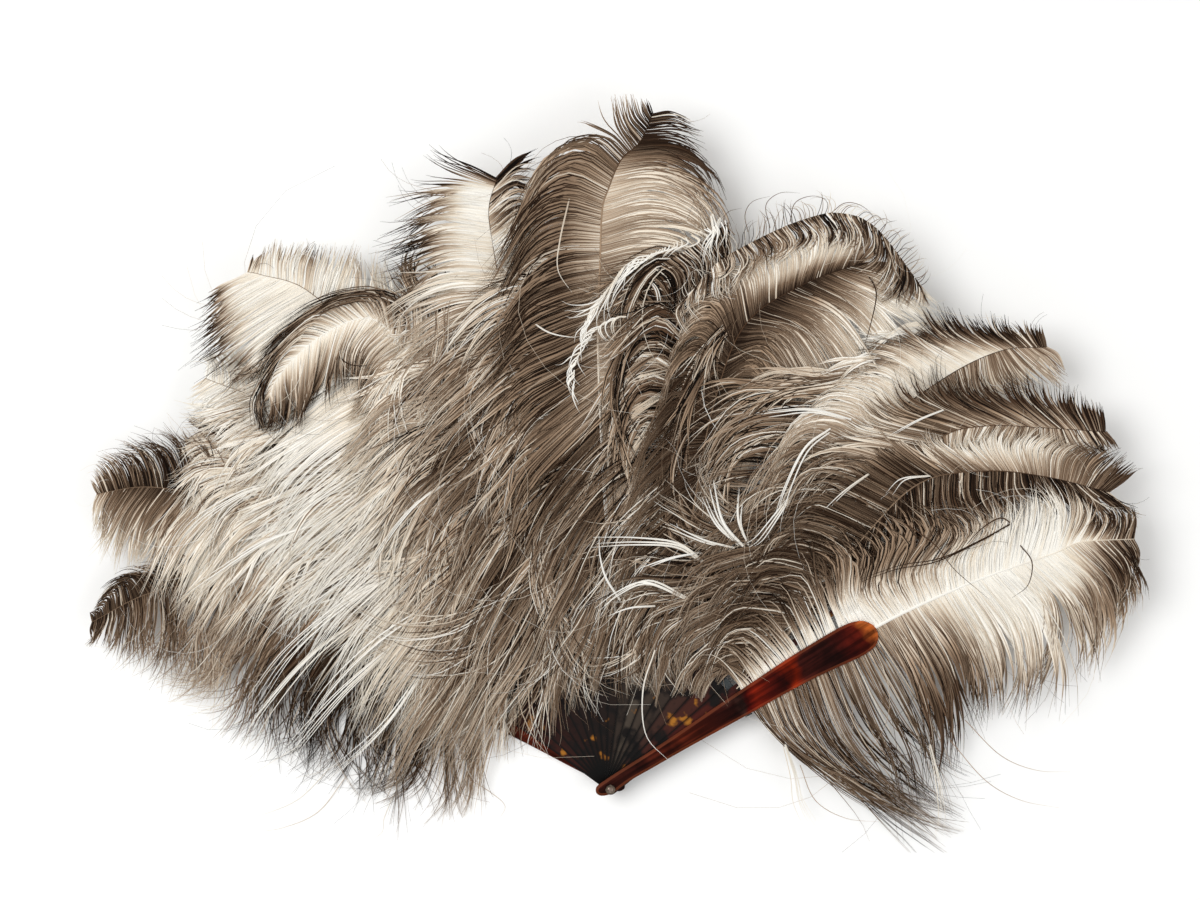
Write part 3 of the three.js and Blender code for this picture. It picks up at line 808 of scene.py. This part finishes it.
SHAFTS[16] = [(800, 620), (870, 530), (922, 482), (986, 471), (1047, 477), (1108, 492)]
LEFT[16] = vane(
    (0, BROWN, (735, 675), (712, 680)),
    (15, (50, 85, 70), (750, 640), (725, 645), (706, 672)),
    (30, (70, 85, 70), (790, 570), (760, 572), (735, 605)),
    (50, (80, 80, 50), (850, 490), (825, 480), (805, 500)),
    (62, (85, 80, 40), (895, 450), (880, 432)),
    (74, (50, 20, 15), (960, 445), (958, 430)),
    (85, (50, 20, 25), (1038, 450), (1056, 436)),
    (94, (50, 70, 95), (1092, 464), (1112, 448)),
    (100, DARK, (1122, 481), (1135, 466)),
    loose=0.35, clump=(0.7, 0.1), vary=0.35, stripe=0.06, mix=0.04, dense=1.2)
RIGHT[16] = vane(
    (0, (60, 75, 70), (745, 660), (765, 630)),
    (45, (90, 85, 60), (862, 560), (870, 590)),
    (57, (90, 90, 60), (915, 528), (935, 560)),
    (68, (90, 90, 60), (962, 500), (985, 534)),
    (80, (90, 90, 70), (1018, 490), (1032, 508)),
    (90, (90, 90, 80), (1080, 500), (1098, 518)),
    (100, DARK, (1126, 504), (1142, 516)),
    rise=0.0, loose=0.7, vary=0.6, stripe=0.1, mix=0.06, dense=1.3)

SHAFTS[17] = [(815, 665), (876, 627), (935, 598), (993, 574), (1052, 554), (1081, 542), (1134, 539)]
LEFT[17] = vane(
    (0, (10, 15, 60, 70, 70), (736, 686), (716, 669), (700, 668)),
    (12, (5, 10, 60, 75, 70), (770, 650), (744, 630), (714, 644)),
    (25, (3, 8, 65, 85, 85), (818, 600), (800, 568), (768, 572)),
    (36, (3, 8, 80, 100, 95), (858, 592), (860, 556), (826, 534)),
    (46, (3, 65, 100, 100), (905, 575), (922, 538), (892, 512)),
    (56, (3, 25, 95), (955, 560), (978, 528), (960, 505)),
    (68, (3, 5, 15), (1010, 530), (1012, 498)),
    (80, (3, 8, 25), (1062, 518), (1058, 492)),
    (90, (10, 85, 95), (1104, 520), (1096, 503)),
    (100, DARK, (1137, 524), (1137, 508)),
    loose=0.6, clump=(0.5, 0.05), dense=1.1, film=0.5, web=0.3, vary=0.7, stripe=0.1, mix=0.06, tuck=13)
RIGHT[17] = vane(
    (0, (60, 75, 60), (778, 738), (815, 768), (850, 788)),
    (6, (55, 80, 70), (790, 738), (850, 785), (920, 818)),
    (14, (55, 80, 75), (830, 745), (885, 795), (940, 826)),
    (24, (50, 75, 80), (868, 722), (910, 772), (936, 812)),
    (36, (40, 80, 90), (915, 682), (936, 735), (942, 785)),
    (46, (15, 85, 80), (950, 655), (962, 692), (966, 722)),
    (56, (5, 30, 90), (990, 640), (1002, 680), (1000, 712)),
    (68, (3, 8, 40, 90), (1040, 612), (1050, 660), (1040, 704)),
    (80, (5, 10, 75, 55, 30), (1090, 592), (1098, 632), (1086, 662)),
    (90, (30, 95, 80, 40), (1118, 570), (1128, 600), (1120, 622)),
    (100, DARK, (1140, 550), (1143, 564)),
    rise=-0.13, arch=2.0, clump=(0.85, 0.1), loose=0.45, web=0.36, vary=0.6, stripe=0.1, mix=0.05,
    dense=1.35, wide=0.85, tuck=13)

QUILLS = {
    5: (20, 20, 2, 2), 7: (20, 20, 45, 80), 9: (10, 5, 10, 40, 50, 95),
    12: (40, 60, 90), 14: (20, 30, 80, 95), 15: (30, 50, 90), 16: (30, 50, 95),
    17: (2, 2, 2, 30),
}
STEMS = {9: 3.0, 17: 3.0}
LIFTS = {5: 9, 12: 6}

FRINGES[10] = [
    fringe(
        [(728, 222), (704, 240), (676, 256), (650, 272), (632, 300)],
        (0, DARK, (731, 240), (728, 262)),
        (35, DARK, (706, 262), (706, 290)),
        (70, DARK, (668, 280), (676, 306)),
        (100, BROWN, (640, 310), (648, 330)),
        above=5.0, arch=1.0, rise=-0.1, clump=(0.4, 0.3), loose=0.6, web=0),
    fringe(
        [(726, 220), (700, 231), (653, 253), (625, 266), (612, 284), (594, 304), (582, 330)],
        (0, WHITE, (727, 234), (722, 250)),
        (20, WHITE, (700, 240), (688, 250)),
        (40, WHITE, (652, 258), (638, 262), (626, 274)),
        (65, WHITE, (606, 296), (594, 312), (586, 324)),
        (85, WHITE, (590, 318), (580, 334), (586, 346)),
        (100, WHITE, (580, 338), (584, 346), (594, 338)), **THIN_CURLS),
    fringe(
        [(630, 316), (612, 320), (594, 329), (582, 345), (575, 362), (574, 388)],
        (0, PALE, (622, 314), (610, 318)),
        (50, WHITE, (588, 342), (576, 352), (572, 370)),
        (100, WHITE, (572, 396), (576, 412)), **THIN_CURLS),
]
FRINGES[12] = [
    fringe(
        HOOD,
        (0, TIPPED, (676, 310), (680, 328)),
        (25, TIPPED, (748, 262), (744, 286)),
        (45, TIPPED, (806, 238), (794, 258)),
        (60, TIPPED, (846, 232), (836, 254)),
        (75, TIPPED, (878, 252), (862, 270)),
        (88, (90, 85, 40), (900, 276), (890, 304)),
        (100, (90, 80, 30), (928, 298), (934, 306)), **HOOD_CURLS),
    fringe(
        HOOD,
        (0, BROWN, (680, 292), (676, 284)),
        (25, BROWN, (738, 240), (730, 226)),
        (45, BROWN, (792, 212), (790, 198)),
        (60, BROWN, (838, 204), (844, 195)),
        (75, BROWN, (884, 218), (896, 214)),
        (88, BROWN, (908, 246), (920, 244)),
        (100, BROWN, (926, 284), (932, 280)), **HOOD_HAIRS),
]

# Loose locks: how many strands, their width, their tones and their photo points.
WISPS[0] = [
    (1, 0.4, PALE, [(330, 768), (300, 798), (270, 812), (235, 822)]),
    (1, 0.4, PALE, [(395, 792), (384, 818), (382, 832), (368, 842)]),
    (1, 0.4, PALE, [(300, 745), (262, 768), (240, 782), (205, 786)]),
    (1, 0.4, FAWN, [(345, 778), (318, 812), (282, 828), (250, 832)]),
    (1, 0.4, FAWN, [(470, 780), (490, 792), (505, 806), (498, 820)]),
    (1, 0.4, PALE, [(230, 700), (200, 712), (182, 716), (168, 708)]),
]
WISPS[2] = [
    (5, 0.9, WHITE, [(330, 520), (270, 540), (215, 575), (180, 600)]),
    (4, 0.8, WHITE, [(300, 480), (250, 490), (200, 520), (175, 555)]),
]
WISPS[4] = [
    (4, 0.9, WHITE, [(440, 600), (380, 640), (330, 690), (300, 740)]),
    (5, 0.9, WHITE, [(420, 560), (350, 600), (290, 650), (250, 705)]),
    (6, 0.8, WHITE, [(400, 640), (345, 690), (305, 735), (285, 760)]),
    (6, 0.8, WHITE, [(360, 620), (310, 660), (265, 715), (250, 745)]),
    (5, 0.8, WHITE, [(430, 660), (390, 720), (350, 760), (330, 775)]),
]
WISPS[6] = [
    (1, 0.8, (80, 90, 90), [(330, 345), (345, 362), (362, 366), (378, 362)]),
    (3, 0.8, WHITE, [(470, 470), (420, 500), (380, 550), (350, 610)]),
]
WISPS[9] = [
    (1, 1.0, (30, 20, 10), [(570, 196), (560, 240), (558, 270), (573, 294)]),
    (1, 1.1, WHITE, [(527, 318), (548, 332), (570, 337), (584, 336)]),
]
WISPS[10] = [
    (3, 1.0, WHITE, [(720, 218), (712, 232), (703, 244), (698, 262)]),
    (3, 1.0, WHITE, [(712, 214), (716, 232), (714, 248), (722, 262)]),
]
WISPS[12] = [
    (1, 0.9, (90, 90, 85), [(862, 267), (874, 285), (876, 300), (868, 334), (860, 358)]),
    (1, 0.5, (60, 70, 70), [(748, 232), (745, 215), (752, 202), (770, 196)]),
    (1, 0.5, (60, 70, 70), [(770, 228), (766, 205), (780, 193), (800, 193)]),
    (1, 0.5, (60, 70, 70), [(790, 222), (795, 203), (812, 196), (830, 200)]),
    (1, 0.5, (60, 70, 70), [(735, 235), (724, 222), (728, 212), (742, 208)]),
    (1, 0.5, (70, 70, 70), [(830, 214), (845, 203), (862, 206), (878, 220)]),
]
WISPS[13] = [
    (3, 1.3, WHITE, [(705, 562), (680, 545), (640, 541), (600, 542)]),
    (2, 1.3, WHITE, [(700, 552), (672, 556), (640, 566)]),
    (1, 1.4, WHITE, [(620, 600), (606, 578), (600, 556), (599, 536)]),
    (3, 1.3, WHITE, [(690, 600), (650, 582), (622, 592), (602, 608)]),
    (1, 1.3, WHITE, [(655, 606), (630, 608), (608, 616)]),
    (4, 1.3, WHITE, [(745, 548), (722, 520), (712, 478)]),
    (3, 1.3, WHITE, [(738, 545), (715, 525), (700, 498)]),
    (3, 1.3, WHITE, [(735, 548), (705, 540), (672, 524)]),
    (3, 1.3, WHITE, [(748, 545), (738, 520), (738, 490)]),
]
WISPS[14] = [
    (4, 1.1, WHITE, [(850, 420), (810, 412), (775, 415), (756, 418)]),
    (4, 1.0, WHITE, [(830, 430), (805, 450), (785, 490), (772, 530)]),
    (3, 1.0, WHITE, [(792, 494), (770, 525), (758, 540), (745, 548)]),
]
WISPS[15] = [
    (2, 1.0, WHITE, [(945, 408), (915, 418), (885, 432)]),
    (2, 1.0, (20, 10, 0), [(875, 470), (848, 490), (826, 512)]),
    (2, 0.9, WHITE, [(930, 476), (905, 480), (892, 495)]),
]
WISPS[17] = [
    (8, 0.5, PALE, [(785, 745), (795, 775), (800, 800), (812, 822)]),
    (5, 0.5, PALE, [(930, 745), (938, 780), (942, 815), (938, 838)]),
    (1, 0.5, (50, 50, 40), [(800, 765), (815, 800), (845, 818), (880, 822)]),
    (1, 0.5, (50, 50, 30), [(950, 740), (985, 780), (1020, 800), (1060, 808)]),
    (1, 0.5, (40, 40, 20), [(965, 720), (1000, 755), (1035, 770), (1070, 772)]),
    (1, 0.9, WHITE, [(655, 650), (643, 690), (646, 735), (670, 762)]),
    (2, 0.9, DARK, [(1012, 524), (985, 540), (940, 562), (900, 570), (860, 585)]),
    (1, 0.9, (70, 80, 85), [(1012, 524), (1000, 518), (980, 530), (962, 550)]),
    (1, 0.8, (70, 80, 80), [(1020, 545), (1032, 562), (1028, 585), (1012, 598)]),
    (1, 0.7, (70, 70, 70), [(900, 520), (935, 545), (955, 570), (990, 600)]),
]


def plume(k):
    """A plume as one mesh: its quill, its two vanes, its fringes and its loose locks."""
    rng = np.random.default_rng(SEED + k)
    angle = stick_angle(k)
    foot = seen_at((FOOT * math.cos(angle), FOOT * math.sin(angle)), vane_height(k))
    shaft = Shaft(k, np.vstack([foot, on_fan(SHAFTS[k])]), 0, LIFTS.get(k, 0))
    strands = Strands()
    barbs(strands, rng, shaft, RIGHT[k])
    barbs(strands, rng, shaft, LEFT[k])
    quill(strands, shaft, QUILLS.get(k, QUILL_TONES), STEMS.get(k, STEM_WIDTH))
    for line, above, form in FRINGES.get(k, []):
        barbs(strands, rng, Shaft(k, on_fan(line), above, 0), form)
    for lock in WISPS.get(k, []):
        wisp(strands, rng, k, *lock)
    made = bpy.data.objects.new(numbered("feather", k), strands.mesh(numbered("feather", k)))
    bpy.context.collection.objects.link(made)
    return made


RIBBON_STEPS = 16
RIBBON_ROWS = 4
RIBBON_CLIMB = 0.9


def ribbon(k):
    """The ribbon's stretch at one stick: it climbs from the layer below to the layer above."""
    steps, rows = RIBBON_STEPS, RIBBON_ROWS
    points, faces, flat = [], [], []
    for side in (-1, 1):
        for i in range(steps + 1):
            share = i / steps - 0.5
            turn = stick_angle(k) - share * math.radians(STEP_ANGLE)
            for j in range(rows + 1):
                radius = RIBBON_FROM + (RIBBON_TO - RIBBON_FROM) * j / rows
                z = vane_height(k) + share * PITCH * RIBBON_CLIMB + side * RIBBON_HALF
                points.append((radius * math.cos(turn) * MM, radius * math.sin(turn) * MM, z * MM))
                flat.append((i / steps, j / rows))
    layer = (steps + 1) * (rows + 1)
    for i in range(steps):
        for j in range(rows):
            a = i * (rows + 1) + j
            quad = (a, a + 1, a + rows + 2, a + rows + 1)
            faces.append(quad)
            faces.append(tuple(layer + q for q in reversed(quad)))
    rim = [i * (rows + 1) for i in range(steps + 1)]
    rim += [steps * (rows + 1) + j for j in range(1, rows + 1)]
    rim += [i * (rows + 1) + rows for i in range(steps - 1, -1, -1)]
    rim += list(range(rows - 1, 0, -1))
    for a, b in zip(rim, rim[1:] + rim[:1]):
        faces.append((a, b, layer + b, layer + a))
    mesh = bpy.data.meshes.new(numbered("ribbon_link", k))
    mesh.from_pydata(points, [], faces)
    sheet = mesh.uv_layers.new(name="OFBake")
    for loop in mesh.loops:
        sheet.data[loop.index].uv = flat[loop.vertex_index]
    made = bpy.data.objects.new(numbered("ribbon_link", k), mesh)
    bpy.context.collection.objects.link(made)
    return made


# Materials. Colours are of 0 to 255. Shell stops are millimetres from the rivet, and the colours
# of the inner sticks are given at a few of them.
CLEAR = (255, 255, 255)
SHELL_RUN = 240.0
SHELL_START = -15.0
SHELL_WAVER = 0.03
CLOUD = (70, 50, 45)
# The guard's colours along it. Past the sticks' ends, about 100 mm out, the brighter reds are partly painted
# light shining through the shell from the pale feathers under it; the rest is the shell's own mottled
# colour.
GUARD_STOPS = [
    (-10, (72, 30, 22)), (20, (64, 25, 18)), (60, (94, 35, 19)), (84, (76, 26, 16)), (97, (52, 18, 14)),
    (102, (66, 40, 34)), (107, (84, 14, 9)), (120, (130, 32, 13)), (134, (74, 18, 12)), (147, (150, 40, 10)),
    (157, (66, 24, 18)), (172, (54, 20, 16)), (188, (70, 17, 11)), (199, (92, 24, 12)), (208, (172, 88, 36)),
]
# Colours of the inner sticks, given at some of them: the shell's own tints, except the greyish ones around
# sticks 11 and 13, which are painted sheen.
STICK_TINTS_AT = [1, 6, 9, 11, 13, 16]
STICK_TINTS_AND_SHEEN = [(44, 16, 11), (22, 11, 8), (26, 16, 12), (62, 54, 46), (48, 38, 32), (60, 18, 11)]


class Nodes:
    """Adds nodes to a material or the world. Inputs are sockets to link or plain values to set."""

    def __init__(self, owner):
        owner.use_nodes = True
        self.tree = owner.node_tree

    def join(self, value, socket):
        if isinstance(value, bpy.types.NodeSocket):
            self.tree.links.new(value, socket)
        else:
            socket.default_value = value

    def add(self, kind, **inputs):
        made = self.tree.nodes.new(kind)
        for name, value in inputs.items():
            self.join(value, made.inputs[name])
        return made

    def math(self, operation, *values):
        made = self.add("ShaderNodeMath")
        made.operation = operation
        for value, socket in zip(values, made.inputs):
            self.join(value, socket)
        return made.outputs["Value"]

    def noise(self, scale, detail, **place):
        return self.add("ShaderNodeTexNoise", Scale=scale, Detail=detail, **place).outputs["Fac"]

    def mapping(self, place, **change):
        return self.add("ShaderNodeMapping", Vector=place, **change).outputs["Vector"]

    def apart(self, vector):
        return self.add("ShaderNodeSeparateXYZ", Vector=vector).outputs

    def ramp(self, factor, stops):
        """Colours at places along a factor."""
        made = self.add("ShaderNodeValToRGB", Fac=factor)
        elements = made.color_ramp.elements
        while len(elements) < len(stops):
            elements.new(0.5)
        for element, (place, colour) in zip(elements, stops):
            element.position = place
            element.color = (*linear(colour), 1)
        return made.outputs["Color"]

    def mix(self, kind, factor, a, b):
        made = self.add("ShaderNodeMix")
        made.data_type = "RGBA"
        made.blend_type = kind
        for name, value in (("Factor", factor), ("A", a), ("B", b)):
            self.join(value, made.inputs[name])
        return made.outputs["Result"]


class Look(Nodes):
    """A material with a Principled shader."""

    def __init__(self, name, settings):
        self.made = bpy.data.materials.new(name)
        super().__init__(self.made)
        self.inputs = self.tree.nodes["Principled BSDF"].inputs
        for label, value in settings.items():
            self.join(value, self.inputs[label])

    def finished(self, colour, height=None, strength=0, distance=0):
        """The material with its colour and, where a height is given, its bumps."""
        self.join(colour, self.inputs["Base Color"])
        if height is not None:
            bump = self.add("ShaderNodeBump", Height=height, Strength=strength, Distance=distance)
            self.join(bump.outputs["Normal"], self.inputs["Normal"])
        return self.made


def feather_material():
    """Barbs in their own tones, finely flecked."""
    look = Look("feather", {"Roughness": 0.7, "Specular IOR Level": 0.06})
    tone = look.add("ShaderNodeVertexColor")
    tone.layer_name = "tone"
    fleck = look.ramp(look.noise(scale=900, detail=3), [(0.3, (225, 222, 218)), (0.7, CLEAR)])
    return look.finished(look.mix("MULTIPLY", 1, tone.outputs["Color"], fleck))


def shell_material(name, angle):
    """A guard's polished mottled shell: colours along it, clouds, streaks and painted amber light on its
    sloping edges.
    """
    look = Look(name, {"Roughness": 0.4, "Specular IOR Level": 0.03})
    place = look.add("ShaderNodeTexCoord").outputs
    lengthwise = look.mapping(place["Object"], Rotation=(0, 0, -angle))
    patch = look.noise(scale=55, detail=4, Vector=lengthwise)
    stretched = look.mapping(lengthwise, Scale=(18, 330, 60))
    streak = look.noise(scale=1, detail=5, Vector=stretched)
    run = look.math("MULTIPLY_ADD", patch, SHELL_WAVER, look.apart(lengthwise)["X"])
    run = look.math("DIVIDE", run, SHELL_RUN * MM)
    colour = look.ramp(run, [((at - SHELL_START) / SHELL_RUN, c) for at, c in GUARD_STOPS])
    colour = look.mix("MULTIPLY", 0.75, colour, look.ramp(streak, [(0.4, CLOUD), (0.62, CLEAR)]))
    colour = look.mix("MULTIPLY", 0.7, colour, look.ramp(patch, [(0.36, CLOUD), (0.58, CLEAR)]))
    # Painted highlight: amber light is added where the surface tilts away from level, on the bevelled edges.
    level = look.math("ABSOLUTE", look.apart(place["Normal"])["Z"])
    rim = look.ramp(level, [(0.93, (104, 54, 32)), (0.97, (0, 0, 0))])
    colour = look.mix("ADD", 0.5, colour, rim)
    return look.finished(colour, streak, strength=0.12, distance=0.0004)


def dark_shell_material(k):
    """An inner stick: dark shell with its tint, which is painted greyish sheen on some sticks, painted shade
    at its edges and a few amber patches.
    """
    look = Look(numbered("dark_shell", k), {"Roughness": 0.32, "Specular IOR Level": 0.1})
    place = look.add("ShaderNodeTexCoord").outputs["Object"]
    tint_and_sheen = [np.interp(k, STICK_TINTS_AT, channel) for channel in zip(*STICK_TINTS_AND_SHEEN)]
    stops = [(0.4, (12, 7, 6)), (0.52, tint_and_sheen), (0.64, tint_and_sheen), (0.71, (150, 96, 32))]
    colour = look.ramp(look.noise(scale=80, detail=3, Vector=place), stops)
    apart = look.apart(look.mapping(place, Rotation=(0, 0, -stick_angle(k))))
    half = look.math("MULTIPLY_ADD", apart["X"], STICK_SPREAD, STICK_HEAD_HALF * MM)
    off = look.math("ABSOLUTE", look.math("DIVIDE", apart["Y"], half))
    # Painted shade: each blade darkens towards its edges, where the next blade overlaps it.
    painted_gap_shade = look.ramp(off, [(0.6, CLEAR), (0.97, (70, 60, 55))])
    grain = look.noise(scale=420, detail=2, Vector=place)
    colour = look.mix("MULTIPLY", 1, colour, painted_gap_shade)
    return look.finished(colour, grain, strength=0.15, distance=0.0003)


def metal_material(name, low, high, roughness):
    """Worn metal, blotched between two colours."""
    look = Look(name, {"Metallic": 0.85, "Roughness": roughness})
    place = look.add("ShaderNodeTexCoord").outputs["Object"]
    blotch = look.noise(scale=900, detail=4, Vector=place)
    colour = look.ramp(blotch, [(0.35, low), (0.65, high)])
    return look.finished(colour, blotch, strength=0.4, distance=0.0002)


def ribbon_material():
    """A dark ribbon with a fine corded weave."""
    look = Look("ribbon", {"Roughness": 0.55, "Sheen Weight": 0.4})
    flat = look.add("ShaderNodeUVMap")
    flat.uv_map = "OFBake"
    weave = look.add("ShaderNodeTexWave", Vector=flat.outputs["UV"], Scale=14, Distortion=0.4)
    cords = weave.outputs["Fac"]
    colour = look.ramp(cords, [(0.2, (10, 16, 18)), (0.8, (30, 42, 44))])
    return look.finished(colour, cords, strength=0.5, distance=0.0003)


FEATHER = feather_material()
RIBBON = ribbon_material()
LOOKS = {
    "front_guard": shell_material("front_shell", stick_angle(LAST)),
    "rear_guard": shell_material("rear_shell", stick_angle(0)),
    "rivet": metal_material("worn_pin", (72, 60, 54), (132, 117, 107), roughness=0.35),
    "front_washer": metal_material("tarnish", (34, 28, 24), (86, 76, 64), roughness=0.45),
}
LOOKS["rear_washer"] = LOOKS["front_washer"]
for k in range(1, LAST):
    LOOKS[numbered("stick", k)] = dark_shell_material(k)
for name, look in LOOKS.items():
    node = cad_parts[name]
    node.data.materials.clear()
    node.data.materials.append(look)

for k in range(LAST + 1):
    feather = plume(k)
    feather.data.materials.append(FEATHER)
    body = "rear_guard" if k == 0 else "front_guard" if k == LAST else numbered("stick", k)
    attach(feather, body)
    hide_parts(numbered("plume", k))
    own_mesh(feather)
    if k > 0:
        link = ribbon(k)
        link.data.materials.append(RIBBON)
        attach(link, body)
        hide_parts(numbered("ribbon", k))

# The floor, the lights, the sky and the camera, in metres and watts.
FLOOR_SIZE = 6
FLOOR_COLOUR = (0.88, 0.88, 0.87, 1)
MIDDLE = (0, 0.2, 0)
SKY = 0.57


def floor():
    bpy.ops.mesh.primitive_plane_add(size=FLOOR_SIZE, location=MIDDLE)
    made = bpy.context.object
    made.name = "floor"
    made.data.materials.append(Look("floor", {"Roughness": 0.9}).finished(FLOOR_COLOUR))


def area_light(name, place, size, power):
    """A round lamp aimed at the middle of the fan."""
    light = bpy.data.lights.new(name, "AREA")
    light.shape = "DISK"
    light.size = size
    light.energy = power
    made = bpy.data.objects.new(name, light)
    made.location = place
    made.rotation_euler = (Vector(MIDDLE) - Vector(place)).to_track_quat("-Z", "Y").to_euler()
    bpy.context.collection.objects.link(made)


def studio():
    """An even sky, dimmer as a light than where it is seen."""
    world = bpy.data.worlds.new("studio")
    nodes = Nodes(world)
    rays = nodes.add("ShaderNodeLightPath").outputs
    seen = rays["Is Camera Ray"]
    for kind in ("Is Glossy Ray", "Is Transmission Ray"):
        seen = nodes.math("MAXIMUM", seen, rays[kind])
    sky = world.node_tree.nodes["Background"].inputs
    sky["Color"].default_value = (1, 1, 1, 1)
    nodes.join(nodes.math("MULTIPLY_ADD", seen, 1 - SKY, SKY), sky["Strength"])
    bpy.context.scene.world = world


floor()
area_light("key", place=(-0.95, 0.5, 1.9), size=1.2, power=29)
area_light("fill", place=(1.4, -0.4, 1.8), size=1.6, power=12.6)
studio()
bpy.context.scene.view_settings.view_transform = "Standard"

camera = bpy.data.cameras.new("camera")
camera.sensor_fit = "HORIZONTAL"
camera.sensor_width = SENSOR
camera.lens = SENSOR * (CAMERA_HEIGHT - SCALE_HEIGHT) / (PHOTO_WIDTH * PHOTO_SCALE)
view = bpy.data.objects.new("camera", camera)
view.location = (CENTRE[0] * MM, CENTRE[1] * MM, CAMERA_HEIGHT * MM)
bpy.context.collection.objects.link(view)
bpy.context.scene.camera = view
